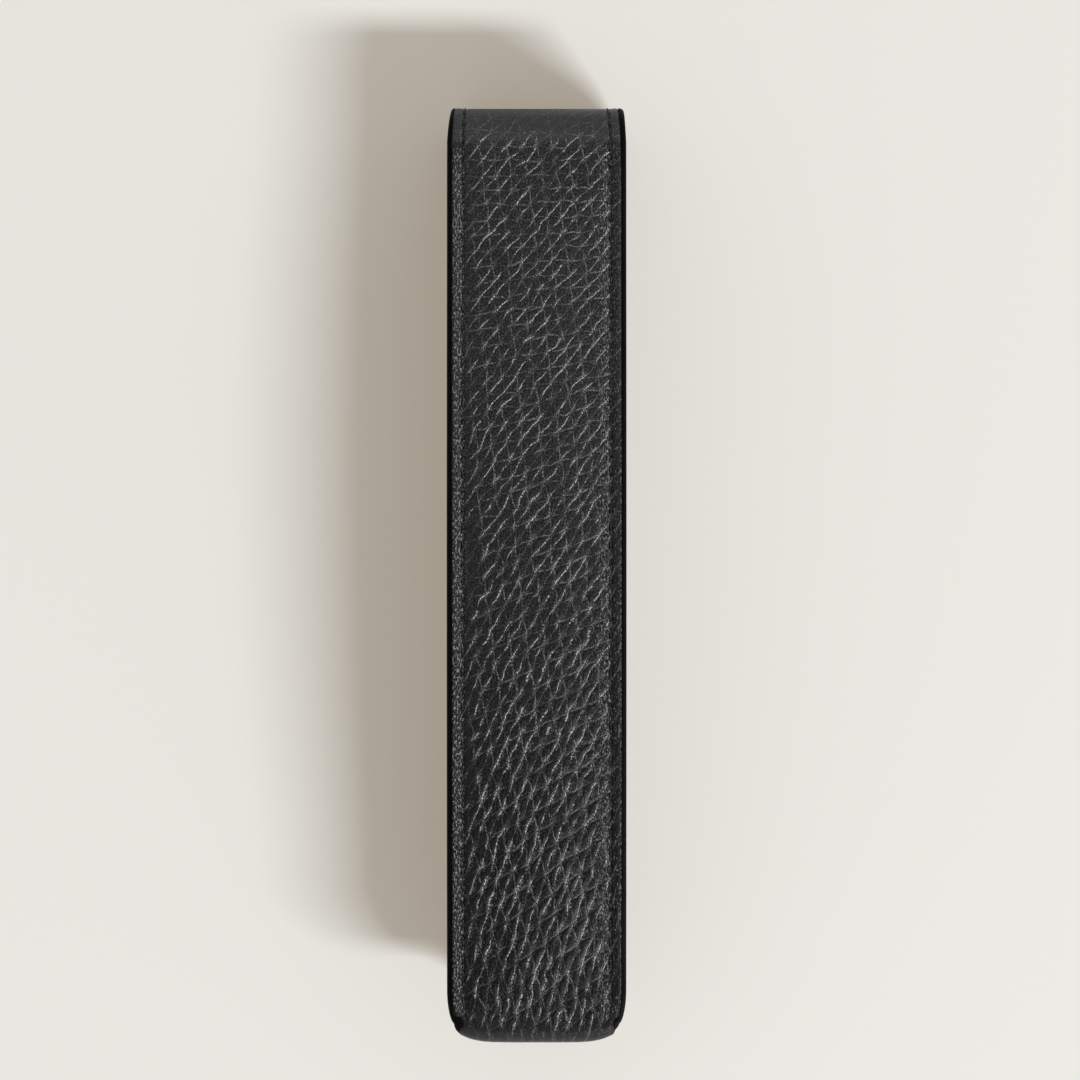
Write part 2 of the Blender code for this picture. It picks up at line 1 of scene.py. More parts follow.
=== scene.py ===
"""Scene of a leather case for one fountain pen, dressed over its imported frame.

The outer leather is one strip: flap, fold, back, turn round the closed end and formed front. It is laid out
as one grid of points, grained by Geometry Nodes and then cut into a piece for each body. Linings, painted
edges and stitches follow the same surfaces. Lengths are in metres, in the frame's own axes.
"""

import math

import bmesh
import bpy
import numpy as np
from bpy.props import FloatProperty, FloatVectorProperty, IntProperty, PointerProperty
from mathutils import Matrix, Vector, kdtree


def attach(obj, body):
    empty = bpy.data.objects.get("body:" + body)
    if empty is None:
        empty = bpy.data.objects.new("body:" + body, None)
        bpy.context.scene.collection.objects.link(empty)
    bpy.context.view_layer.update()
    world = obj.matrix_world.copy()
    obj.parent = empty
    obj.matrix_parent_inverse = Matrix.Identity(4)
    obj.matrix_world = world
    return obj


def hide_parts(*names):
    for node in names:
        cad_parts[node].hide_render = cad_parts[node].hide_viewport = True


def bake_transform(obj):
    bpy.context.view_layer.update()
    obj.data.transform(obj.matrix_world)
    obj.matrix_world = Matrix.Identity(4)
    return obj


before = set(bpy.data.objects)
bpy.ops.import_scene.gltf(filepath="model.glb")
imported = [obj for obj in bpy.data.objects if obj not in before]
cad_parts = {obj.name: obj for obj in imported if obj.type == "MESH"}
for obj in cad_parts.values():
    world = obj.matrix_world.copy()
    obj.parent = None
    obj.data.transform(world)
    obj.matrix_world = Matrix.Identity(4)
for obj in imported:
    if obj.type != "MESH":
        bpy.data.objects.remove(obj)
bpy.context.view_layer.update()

bl_info = {
    "name": "Leather pen case",
    "version": (1, 0, 0),
    "blender": (4, 5, 0),
    "location": "3D View > Sidebar > Pen Case",
    "description": "Builds a sewn leather pen case with a folding flap over its packed frame",
    "category": "Object",
}

MM = 0.001

# Sizes of the frame's own solids, which every surface here follows
CASE_LENGTH = 160 * MM
CASE_WIDTH = 30.6 * MM
TOP_HEIGHT = 19 * MM
FOOT_HEIGHT = 18.6 * MM
BACK_BOW = 3.8 * MM
LEATHER = 1.2 * MM
LINING = 0.4 * MM
BOARD = 0.4 * MM
GLUE = 0.2 * MM
PAINT = 0.55 * MM
SEAM_INSET = 2.7 * MM
SEAM_END = 7 * MM
GROOVE_WIDTH = 0.9 * MM
CROWN = 0.8 * MM
CROWN_ROLL = 9 * MM
CROWN_FADE = 14 * MM
PAD_CROWN = 0.8
MOUTH_DROP = 18 * MM
MOUTH_SEAM_INSET = 2.7 * MM
TROUGH_CORNER = 6 * MM
FLANGE_FILLET = 1 * MM
FLANGE_FLAT = 0.4 * MM
FOOT_TAPER = 6 * MM
FLAP_RAMP = 14 * MM
FLAP_SEAT = 0.3 * MM
FOOT_RADIUS = 2.6 * MM
FOOT_HALF_WIDTH = 13.4 * MM
FOOT_TIP_HALF = 12.2 * MM
FOOT_CORNER = 6.5 * MM
FOOT_BOW = 1.2 * MM
FOOT_BOW_REACH = 9 * MM
FOOT_BOW_POWER = 6
FOOT_TIP_POWER = 0.6
FOLD_RADIUS = 6 * MM
FLAP_INSET = 1 * MM
FLAP_REACH = 48 * MM
FLAP_TIP_RADIUS = 7 * MM
FLAP_SETTLE = 5 * MM

# Worked out from the sizes above
STACK = 2 * LEATHER + 2 * LINING + 3 * GLUE
FLAP_STACK = LEATHER + BOARD + LINING + 2 * GLUE
FRONT_WALL = LEATHER + GLUE + LINING
HALF_WIDTH = CASE_WIDTH / 2
EDGE = HALF_WIDTH - PAINT - GLUE
FLAP_EDGE = HALF_WIDTH - FLAP_INSET - PAINT - GLUE
SEAM_X = HALF_WIDTH - SEAM_INSET
FLANGE_X = SEAM_X - GROOVE_WIDTH / 2 - FLANGE_FLAT
PLATEAU_X = FLANGE_X - FLANGE_FILLET - TROUGH_CORNER
FOLD_Y = CASE_LENGTH / 2 - FOLD_RADIUS
FOOT_Y = -CASE_LENGTH / 2
FOOT_TURN_Y = FOOT_Y + FOOT_RADIUS
MOUTH_Y = CASE_LENGTH / 2 - MOUTH_DROP
SEAM_END_Y = FOOT_Y + SEAM_END
FLAP_TIP_Y = FOLD_Y - FLAP_REACH
RAMP_Y = FLAP_TIP_Y - FLAP_RAMP
TROUGH_Y = FOOT_TURN_Y + FOOT_TAPER
BEND_Z = TOP_HEIGHT - FOLD_RADIUS
FOLD_WALL = TOP_HEIGHT - 2 * FOLD_RADIUS
QUARTER_TURN = FOLD_RADIUS * math.pi / 2
FOLD_LENGTH = 2 * QUARTER_TURN + FOLD_WALL

# The fold's bodies in order, and where its pieces meet along its grain side, from the back to the flap
FOLD_CUTS = (0, QUARTER_TURN / 2, FOLD_LENGTH / 2, FOLD_LENGTH - QUARTER_TURN / 2, FOLD_LENGTH)
HALF_TURNS = (0, QUARTER_TURN / 2, FOLD_LENGTH - QUARTER_TURN, FOLD_LENGTH - QUARTER_TURN / 2)

# Spacing of the points that carry the grain
PANEL_STEP = 0.26 * MM
MARGIN_STEP = 0.11 * MM
MARGIN_START = 11.9 * MM
FRONT_STEP = 0.42 * MM
FLAP_STEP = 0.32 * MM
END_STEP = 0.15 * MM
TURN_STEP = 0.22 * MM
LINING_STEP = 1.2 * MM

# The sewn margin's relief, as places from the middle line, heights and shares of them
GROOVE_SINK = 0.24 * MM
GROOVE_SPREAD = 0.28 * MM
MARGIN_RISE = 0.38 * MM
MARGIN_CREST = 14.1 * MM
FOLD_RISE = 0.2
FOLD_RISE_REACH = 6 * MM
FOLD_GROOVE = 0.35
FOLD_THREAD = 0.8
EDGE_DROP = 0.32 * MM
EDGE_DROP_START = 14.05 * MM
LEFT_DROP = 0.25
HOLE_SINK = 0.26 * MM
HOLE_SPREAD = 0.3 * MM
HOLE_REACH = 2.5 * HOLE_SPREAD

# How much crumple the seams give the margins, in relief and in painted highlights, with how far this fades
# in from the fold and from the closed end and where across it starts and stops; then the painted highlight
# on the right flank beside the seam and the painted highlight line on the right edge's rim below the upper
# part
CRUMPLE_AT_FOLD = 2 * MM
CRUMPLE_AT_FOOT = 3 * MM
RIGHT_CRUMPLE_BAND = (SEAM_X - 0.1 * MM, MARGIN_CREST - 0.2 * MM)
LEFT_CRUMPLE_BAND = (SEAM_X - 0.6 * MM, EDGE - 0.3 * MM)
CRUMPLE_RISE = 0.6 * MM
CRUMPLE_FALL = 0.3 * MM
LEFT_CRUMPLE = 0.85
RIGHT_CRUMPLE = 0.45
# Painted highlights: on the right flank beside the seam and as a line on the right edge's rim
RIGHT_FLANK_HIGHLIGHT = 0.75
RIM_HIGHLIGHT = 1.4
RIM_PLACE = 14.36 * MM
RIM_SPREAD = 0.12 * MM
RIM_FROM = 18 * MM
RIM_TO = 32 * MM
RIM_CREST = 14.3 * MM
RIM_RIDGE = 0.08 * MM

# The grain's creases: waves that bend them and how far, the lean of the long ones and the tilt of the flat
# ones as slopes with their change for each metre along, and how far apart and how long the strokes are
GRAIN_WANDER = ((8 * MM, 1.5 * MM), (2.6 * MM, 0.85 * MM), (0.55 * MM, 0.2 * MM))
LEAN = 0.62
LEAN_TURN = 6.0
LEANING_TURN = -2.07
TILT = 0.36
TILT_TURN = -5.2
FLAT_TURN = 4.0
CREASE_LANE = 7.3
CREASE_RUN = 2.6 * MM

# The families of creases as sums of the leaning and the flat one, and for each the noise levels at which a
# crease starts to show and is full and its least strength; then the short wrinkles round each crossing
CREASES = (((1, 0), (0.42, 0.6, 0.14)), ((0, 1), (0.4, 0.62, 0.32)), ((1, 1), (0.4, 0.6, 0.35)))
WRINKLES = ((1, -1), (2, 1), (1, 2))
STAR_INNER = 0.2
STAR_OUTER = 0.8

# How far a furrow reaches from its crease, in spacings, the depth of the flat and steep ones as a share of
# the long ones', how much deeper they all are towards the closed end, and where that starts and is full
FURROW_REACH = 0.17
CROSS_CREASE = 0.45
FOOT_DEEPER = 0.5
LOW_FROM = 40 * MM
LOW_TO = -50 * MM

# How much of the grain is left where the leather is stretched round the fold and the closed end
FOLD_GRAIN = 0.06
FOOT_GRAIN = 0.12
LIP_GRAIN = 0.15
RIGHT_LIP_GRAIN = 0.25
FLANK_GRAIN = 0.15
STRETCHED_NET = 0.42
STRETCHED_LONG = 0.14
# How much of the stretched leather's greyer colour, partly a painted reflection, shows round the closed end
FOOT_STRETCH = 0.4

# Where the grain fades and where the leather is drawn tight, as distances along from where the fold, the
# flap, the closed end and the front begin; and how wide the leather beside a seam is whose grain fades or
# that gets a painted highlight
FOLD_FADE = (-0.6 * MM, 1.6 * MM)
FLAP_FADE = 6 * MM
FOOT_FADE = (-1.2 * MM, 2.2 * MM)
FRONT_FADE = 8 * MM
FOLD_DRAWN = (-1 * MM, 1 * MM)
FLAP_DRAWN = (-2 * MM, 4 * MM)
FOOT_DRAWN = (-2.5 * MM, 2 * MM)
FRONT_DRAWN = (-2 * MM, 1 * MM)
FLANK = 4 * MM

# Three places close together, from which a surface's slope is taken
SLOPE_STEPS = np.array([-0.1, 0, 0.1]) * MM

# The stage: the floor and the share of its painted glow, seen by the camera alone, that lightens its shadow;
# the camera; the window's size, power in watts, height and direction as angles, and distance; and the room's
# light from its walls up
FLOOR_REACH = 1.5
FLOOR_GLOW = 0.25
CAMERA_LENS = 170.8
CAMERA_SENSOR = 36
CAMERA_PLACE = (0.57 * MM, 5.97 * MM, 893 * MM)
WINDOW_LONG = 1.7
WINDOW_HIGH = 0.42
WINDOW_POWER = 186
WINDOW_RISE = math.radians(33.3)
WINDOW_TURN = math.radians(-41.5)
WINDOW_AWAY = 4
ROOM_WALLS = 1.0
ROOM_CEILING = 0.15


def linear(hex_colour):
    """An sRGB hex colour as linear red, green and blue."""
    channels = [int(hex_colour[i:i + 2], 16) / 255 for i in (1, 3, 5)]
    return [c / 12.92 if c <= 0.04045 else ((c + 0.055) / 1.055) ** 2.4 for c in channels]


def colour(name, hex_colour, description):
    return FloatVectorProperty(name=name, description=description, subtype="COLOR", size=3, min=0, max=1,
                               default=linear(hex_colour))


def length(name, millimetres, description):
    return FloatProperty(name=name, description=description, unit="LENGTH", min=0, precision=5,
                         default=millimetres * MM)


class PENCASE_PG_finish(bpy.types.PropertyGroup):
    """Colours of the case and its stage."""

    leather: colour("Leather", "#111111", "Dyed leather on the tops of its grain")
    # Painted highlight: the colour of the creases' flecks, the glints, the specks on the pebbles and the lit
    # fibres of the margins
    painted_highlight: colour("Highlight", "#b8b8b8", "Wax and dust that lie in the creases")
    # The stretched leather's greyer colour is partly its own and partly a painted reflection of the room on
    # the fold and the closed end
    stretched: colour("Stretched leather", "#343434",
                      "Leather drawn tight round the fold and the closed end")
    paint: colour("Edge paint", "#040404", "Paint on the raw edges")
    thread: colour("Thread", "#0b0b0c", "Bonded sewing thread")
    lining: colour("Lining", "#1c1c1e", "Brushed lining of the pocket and flap")
    board: colour("Board", "#8b867c", "Fibre board in the flap and felt behind the back")
    nickel: colour("Nickel", "#c9c4ba", "Plating of magnet and keeper")
    floor: colour("Floor", "#e2e2e2", "Pale paper under the case, as it lights the case")
    floor_lit: colour("Floor in light", "#dce3e5", "The paper's own colour without its glow")
    glow: colour("Floor glow", "#ffe5c1", "Warm light that the paper's shadow keeps")


class PENCASE_PG_size(bpy.types.PropertyGroup):
    """Sizes of the leather's grain and of the sewing."""

    cell_width: length("Cell width", 2.16, "Width of a grain cell across the case")
    cell_length: length("Cell length", 3.1, "Length of a grain cell along the case")
    crease_depth: length("Crease depth", 0.1, "Depth of the creases between grain cells")
    dome_height: length("Dome height", 0.06, "Rise of a grain cell's middle over its rim")
    stitch_pitch: length("Stitch pitch", 3.04, "Distance from stitch to stitch")
    stitch_length: length("Stitch length", 2.35, "Length of the thread seen in one stitch")
    thread: length("Thread", 0.38, "Thickness of the thread")
    seed: IntProperty(name="Seed", description="Seed of the stitches' small differences", default=7, min=0)


# Nodes and meshes

def fill(tree, node, links):
    """Links or fills a node's inputs, given by name or number."""
    for key, value in links.items():
        if isinstance(key, int):
            socket = node.inputs[key]
        else:
            socket = next(s for s in node.inputs if s.name == key and s.enabled)
        if isinstance(value, bpy.types.Node):
            value = next(s for s in value.outputs if s.enabled)
        if isinstance(value, bpy.types.NodeSocket):
            tree.links.new(value, socket)
        else:
            socket.default_value = value


def add(tree, kind, links, **settings):
    """Adds a node with its settings and its links."""
    made = tree.nodes.new(kind)
    for key, value in settings.items():
        setattr(made, key, value)
    fill(tree, made, links)
    return made


def grain_pattern(tree, place, width, long):
    """Adds the tumbled grain to a shader or geometry tree. Three families of creases cross in stars: long
    ones that lean to the right, flat ones and steep ones, and short wrinkles run out from the crossings.
    Gives for each family how far a place on the flat strip is to the right of the nearest crease and from
    it, in spacings, and how strong that crease is there. width and long are the spacings of the leaning
    creases across the case and of the flat ones along it."""
    bent = place
    for wave, swing in GRAIN_WANDER:
        wander = add(tree, "ShaderNodeTexNoise", {"Vector": place, "Scale": 1 / wave, "Detail": 1.0},
                     noise_dimensions="2D")
        centred = add(tree, "ShaderNodeVectorMath", {0: wander.outputs["Color"], 1: (0.5, 0.5, 0.5)},
                      operation="SUBTRACT")
        bent = add(tree, "ShaderNodeVectorMath", {0: centred, 1: (swing, swing, 0), 2: bent},
                   operation="MULTIPLY_ADD")
    parts = add(tree, "ShaderNodeSeparateXYZ", {0: bent})
    x, y = parts.outputs["X"], parts.outputs["Y"]
    # The leaning creases are steep at the closed end and lie over towards the fold
    near = add(tree, "ShaderNodeClamp", {"Value": y, "Min": -CASE_LENGTH / 2, "Max": CASE_LENGTH / 2})
    lean = add(tree, "ShaderNodeMath", {0: near, 1: LEAN_TURN, 2: LEAN}, operation="MULTIPLY_ADD")
    run = add(tree, "ShaderNodeMath", {0: y, 1: lean}, operation="MULTIPLY")
    square = add(tree, "ShaderNodeMath", {0: near, 1: near}, operation="MULTIPLY")
    shift = add(tree, "ShaderNodeMath", {0: square, 1: -LEAN_TURN / 2, 2: run}, operation="MULTIPLY_ADD")
    across = add(tree, "ShaderNodeMath", {0: x, 1: shift}, operation="SUBTRACT")
    finer = add(tree, "ShaderNodeMath", {0: near, 1: LEANING_TURN, 2: 1.0}, operation="MULTIPLY_ADD")
    across = add(tree, "ShaderNodeMath", {0: across, 1: finer}, operation="MULTIPLY")
    leaning = add(tree, "ShaderNodeMath", {0: across, 1: width}, operation="DIVIDE")
    tilt = add(tree, "ShaderNodeMath", {0: near, 1: TILT_TURN, 2: TILT}, operation="MULTIPLY_ADD")
    climb = add(tree, "ShaderNodeMath", {0: x, 1: tilt}, operation="MULTIPLY")
    level = add(tree, "ShaderNodeMath", {0: y, 1: climb}, operation="SUBTRACT")
    closer = add(tree, "ShaderNodeMath", {0: near, 1: FLAT_TURN, 2: 1.0}, operation="MULTIPLY_ADD")
    level = add(tree, "ShaderNodeMath", {0: level, 1: closer}, operation="MULTIPLY")
    level = add(tree, "ShaderNodeMath", {0: square, 1: -FLAT_TURN / 2, 2: level}, operation="MULTIPLY_ADD")
    flat = add(tree, "ShaderNodeMath", {0: level, 1: long}, operation="DIVIDE")
    creases = []
    for (i, j), (low, high, least) in CREASES:
        number, side, gap = nearest_crease(tree, leaning, flat, i, j)
        lane = add(tree, "ShaderNodeMath", {0: number, 1: CREASE_LANE}, operation="MULTIPLY")
        down = add(tree, "ShaderNodeMath", {0: y if i else x, 1: CREASE_RUN}, operation="DIVIDE")
        spot = add(tree, "ShaderNodeCombineXYZ", {"X": lane, "Y": down})
        fade = add(tree, "ShaderNodeTexNoise", {"Vector": spot, "Scale": 1.0, "Detail": 1.0},
                   noise_dimensions="2D")
        strength = add(tree, "ShaderNodeMapRange", {
            "Value": fade.outputs["Fac"], "From Min": low, "From Max": high, "To Min": least,
        }, interpolation_type="SMOOTHSTEP")
        creases.append((side, gap, strength))
    corner = add(tree, "ShaderNodeCombineXYZ", {k: creases[k][0] for k in range(3)})
    away = add(tree, "ShaderNodeVectorMath", {0: corner}, operation="LENGTH").outputs["Value"]
    star = add(tree, "ShaderNodeMapRange", {"Value": away, "From Min": STAR_OUTER, "From Max": STAR_INNER},
               interpolation_type="SMOOTHSTEP")
    for i, j in WRINKLES:
        creases.append((*nearest_crease(tree, leaning, flat, i, j)[1:], star))
    return creases


def nearest_crease(tree, leaning, flat, i, j):
    """The number of the nearest crease of a family, and how far to its right and how far from it."""
    part = add(tree, "ShaderNodeMath", {0: leaning, 1: i}, operation="MULTIPLY")
    phase = add(tree, "ShaderNodeMath", {0: flat, 1: j, 2: part}, operation="MULTIPLY_ADD")
    number = add(tree, "ShaderNodeMath", {0: phase}, operation="ROUND")
    side = add(tree, "ShaderNodeMath", {0: phase, 1: number}, operation="SUBTRACT")
    gap = add(tree, "ShaderNodeMath", {0: side}, operation="ABSOLUTE")
    return number, side, gap


def new_tree(name, inputs):
    """A geometry tree with a geometry in and out and these named inputs."""
    tree = bpy.data.node_groups.new(name, "GeometryNodeTree")
    tree.interface.new_socket("Geometry", in_out="OUTPUT", socket_type="NodeSocketGeometry")
    tree.interface.new_socket("Geometry", in_out="INPUT", socket_type="NodeSocketGeometry")
    for label, kind in inputs:
        tree.interface.new_socket(label, in_out="INPUT", socket_type=kind)
    return tree, tree.nodes.new("NodeGroupInput").outputs


def close_tree(tree, geometry, material):
    """Ends a tree in plain geometry with its material."""
    real = add(tree, "GeometryNodeRealizeInstances", {"Geometry": geometry})
    done = add(tree, "GeometryNodeSetMaterial", {"Geometry": real, "Material": material})
    add(tree, "NodeGroupOutput", {0: done})


def grown(source, tree, values):
    """The plain mesh that a tree makes of an object, which is removed."""
    change = source.modifiers.new(tree.name, "NODES")
    change.node_group = tree
    for item in tree.interface.items_tree:
        if item.in_out == "INPUT" and item.name in values:
            change[item.identifier] = values[item.name]
    graph = bpy.context.evaluated_depsgraph_get()
    mesh = bpy.data.meshes.new_from_object(source.evaluated_get(graph), preserve_all_data_layers=True,
                                           depsgraph=graph)
    bpy.data.objects.remove(source)
    mesh.materials.clear()
    mesh.materials.append(values["Material"])
    mesh.polygons.foreach_set("material_index", [0] * len(mesh.polygons))
    return mesh


def show(name, mesh):
    made = bpy.data.objects.new(name, mesh)
    bpy.context.scene.collection.objects.link(made)
    return made


def plain_mesh(name, points, faces, material=None):
    mesh = bpy.data.meshes.new(name)
    mesh.from_pydata(points, [], faces)
    mesh.shade_smooth()
    if material is not None:
        mesh.materials.append(material)
    return mesh


def grid_faces(corner):
    """The faces of a grid, out of the numbers of its points."""
    quads = np.stack([corner[:-1, :-1], corner[1:, :-1], corner[1:, 1:], corner[:-1, 1:]], -1)
    return quads.reshape(-1, 4).tolist()


def store(mesh, name, values):
    """Writes one number or one vector for each point."""
    values = np.asarray(values, np.float32)
    kind = "FLOAT" if values.ndim == 1 else "FLOAT_VECTOR"
    field = "value" if values.ndim == 1 else "vector"
    mesh.attributes.new(name, kind, "POINT").data.foreach_set(field, values.ravel())


# Surfaces of the frame

def ease(value, low, high):
    """0 up to low, 1 from high on, and a smooth rise between them."""
    t = np.clip((value - low) / (high - low), 0, 1)
    return t * t * (3 - 2 * t)


def between(a, b, share):
    return a + (b - a) * share


def hump(value, place, spread):
    """A rounded rise of 1 at its place, about twice its spread wide."""
    return np.exp(-((value - place) / spread) ** 2)


def spaced(first, last, step):
    return np.linspace(first, last, max(2, round(abs(last - first) / step) + 1))


def back_height(y):
    t = (y - FOOT_Y) / (FOLD_Y - FOOT_Y)
    return between(FOOT_HEIGHT, TOP_HEIGHT, t) + BACK_BOW * 4 * t * (1 - t)


def crown(y):
    from_foot = ease(y, FOOT_TURN_Y, FOOT_TURN_Y + CROWN_FADE)
    return CROWN * from_foot * (1 - ease(y, MOUTH_Y - CROWN_FADE / 2, MOUTH_Y + CROWN_FADE / 2))


def crown_rise(x, y):
    return crown(y) * (1 - ease(np.abs(x), FLANGE_X - CROWN_ROLL, FLANGE_X))


def margin_top(y):
    return back_height(y) - crown(y)


def flange_level(y):
    spread = (2 * FOOT_RADIUS - STACK) * (1 - ease(y, FOOT_TURN_Y, SEAM_END_Y))
    return margin_top(y) - STACK - spread


def half_width(y):
    down = np.clip((FOOT_TURN_Y + FOOT_CORNER - y) / FOOT_CORNER, 0, 1)
    return EDGE - (EDGE - FOOT_HALF_WIDTH) * (1 - np.sqrt(1 - down * down))


def drawn_in(flat_x, y):
    """Where a place of the strip comes to lie, with the closed end's rounded and bowed corners."""
    width = half_width(y)
    x = flat_x * width / EDGE
    near = 1 - ease(y, FOOT_TURN_Y, FOOT_TURN_Y + FOOT_BOW_REACH)
    return x, y + FOOT_BOW * near * np.minimum(1, np.abs(x) / width) ** FOOT_BOW_POWER


def plateau_height(y):
    return (FLAP_STACK + FLAP_SEAT) * ease(y, RAMP_Y, FLAP_TIP_Y)


def laid(x, y, z):
    return np.stack(np.broadcast_arrays(x, y, z), -1)


def back_rows(u, y, depth=0.0, crowned=True):
    """The back, depth under its grain side: rows along y and columns across."""
    u, y = np.meshgrid(u, y)
    rise = crown_rise(u, y) if crowned else 0
    return laid(*drawn_in(u, y), margin_top(y) + rise - depth)


def fold_rows(u, t, depth=0.0):
    """The fold, t along its grain side from the back to the flap."""
    u, t = np.meshgrid(u, t)
    down = np.clip(t - QUARTER_TURN, 0, FOLD_WALL)
    angle = (t - down) / FOLD_RADIUS
    narrowed = u * between(1, FLAP_EDGE / EDGE, angle / math.pi)
    radius = FOLD_RADIUS - depth
    return laid(narrowed, FOLD_Y + radius * np.sin(angle), BEND_Z - down + radius * np.cos(angle))


def flap_half(y):
    """The flap's half width, which its rounded tip draws in."""
    down = np.clip(FLAP_TIP_Y + FLAP_TIP_RADIUS - y, 0, FLAP_TIP_RADIUS)
    return FLAP_EDGE - FLAP_TIP_RADIUS + np.sqrt(FLAP_TIP_RADIUS ** 2 - down ** 2)


def flap_rows(u, y, depth=0.0):
    u, y = np.meshgrid(u, y)
    return laid(u * flap_half(y) / EDGE, y, depth)


def tip_share(angle):
    """How far the turn round the closed end is drawn in at its tip."""
    return between(FOOT_TIP_HALF / FOOT_HALF_WIDTH, 1, np.abs(np.cos(angle)) ** FOOT_TIP_POWER)


def foot_rows(u, angle, depth=0.0):
    """The turn round the closed end, angle from the back to the front."""
    u, angle = np.meshgrid(u, angle)
    x, y = drawn_in(u, FOOT_TURN_Y)
    x = x * tip_share(angle)
    radius = FOOT_RADIUS - depth
    middle = margin_top(FOOT_TURN_Y) - FOOT_RADIUS
    return laid(x, y - radius * np.sin(angle), middle + radius * np.cos(angle))


def front_rows(u, y, depth=0.0):
    """The formed front, depth inside its grain side: a trough between two sewn flanges."""
    u, y = np.meshgrid(u, y)
    across = np.abs(u)
    flange = flange_level(y)
    low = plateau_height(y)
    wall = flange - FLANGE_FILLET - low - TROUGH_CORNER
    quarter = math.pi / 2
    ends = [PLATEAU_X, PLATEAU_X + TROUGH_CORNER * quarter]
    ends.append(ends[1] + wall)
    ends.append(ends[2] + FLANGE_FILLET * quarter)
    s = across / FLANGE_X * ends[3]
    corner = TROUGH_CORNER - depth
    fillet = FLANGE_FILLET + depth
    turn = np.clip((s - ends[0]) / TROUGH_CORNER, 0, quarter)
    roll = np.clip((s - ends[2]) / FLANGE_FILLET, 0, quarter)
    x = np.minimum(s, PLATEAU_X) + corner * np.sin(turn) + fillet * (1 - np.cos(roll))
    z = low + TROUGH_CORNER - corner * np.cos(turn) + np.clip(s - ends[1], 0, wall)
    z = z + fillet * np.sin(roll)
    x = np.where(across > FLANGE_X, across, x)
    z = np.where(across > FLANGE_X, flange + depth, z)
    trough = ease(y - depth, FOOT_TURN_Y, TROUGH_Y)
    x = between(across, x, trough) * np.sign(u)
    return laid(*drawn_in(x, y), between(flange + depth, z, trough))


def outward(points):
    """The unit normals of a grid of points, on its grain side."""
    normals = np.cross(np.gradient(points, axis=0), np.gradient(points, axis=1))
    return normals / np.linalg.norm(normals, axis=-1, keepdims=True)


def flap_stations(step):
    """Places from the flap's tip to the fold, close together where the tip is round."""
    turn = np.linspace(0, math.pi / 2, max(8, round(FLAP_TIP_RADIUS * math.pi / 2 / step)) + 1)
    tip = FLAP_TIP_Y + FLAP_TIP_RADIUS * (1 - np.cos(turn))
    return np.concatenate([tip[:-1], spaced(tip[-1], FOLD_Y, step)])


def fold_stations(number, step):
    """Places over one of the fold's four pieces, from the flap's side to the back's."""
    return spaced(FOLD_CUTS[number], FOLD_CUTS[number - 1], step)


def columns_across():
    panel = spaced(0, MARGIN_START, PANEL_STEP)
    half = np.concatenate([panel, spaced(MARGIN_START, EDGE, MARGIN_STEP)[1:]])
    return np.concatenate([-half[:0:-1], half])


# Leather

def margin_place(u, stretch, y):
    """How far out a place is, as its distance from the middle line of a straight margin. On the flap it
    follows the rounded tip."""
    across = np.abs(np.broadcast_to(u, (len(y), len(u))))
    if stretch != "flap":
        return across
    scale = EDGE / FLAP_EDGE
    x = across * (flap_half(y) / FLAP_EDGE)[:, None]
    radius = FLAP_TIP_RADIUS * scale
    right = x - (EDGE - radius)
    down = (FLAP_TIP_Y + radius - y)[:, None] + 0 * x
    corner = np.hypot(np.maximum(right, 0), np.maximum(down, 0))
    inside = np.minimum(np.maximum(right, down), 0)
    return EDGE + corner + inside - radius


def rise_share(y):
    """How much of the back margin's rise is left near the fold."""
    return between(FOLD_RISE, 1, ease(FOLD_Y - y, 0, FOLD_RISE_REACH))


def fold_rise(t):
    """How much of it is left over the fold. The flap, which lies on the floor, has none."""
    return FOLD_RISE * (1 - ease(t, FOLD_LENGTH - QUARTER_TURN, FOLD_LENGTH))


def fold_groove(t):
    """How deep the stitch groove is over the fold, as a share of its depth elsewhere."""
    tight = ease(t, 0, QUARTER_TURN / 4) * (1 - ease(t, FOLD_LENGTH - QUARTER_TURN / 4, FOLD_LENGTH))
    return between(1, FOLD_GROOVE, tight)


def margin_relief(m, right, seam, rise, groove):
    """The height of the sewn margin: stitch groove, rise to the edge and rounded edge, which has a raised
    rim on the right and is less rounded on the left."""
    height = rise * MARGIN_RISE * ease(m, SEAM_X, MARGIN_CREST)
    height = height - groove * GROOVE_SINK * hump(m, SEAM_X, GROOVE_SPREAD)
    height = height + np.where(right, rise * RIM_RIDGE, 0) * hump(m, RIM_CREST, RIM_SPREAD)
    return seam * (height - np.where(right, 1, LEFT_DROP) * EDGE_DROP * ease(m, EDGE_DROP_START, EDGE))


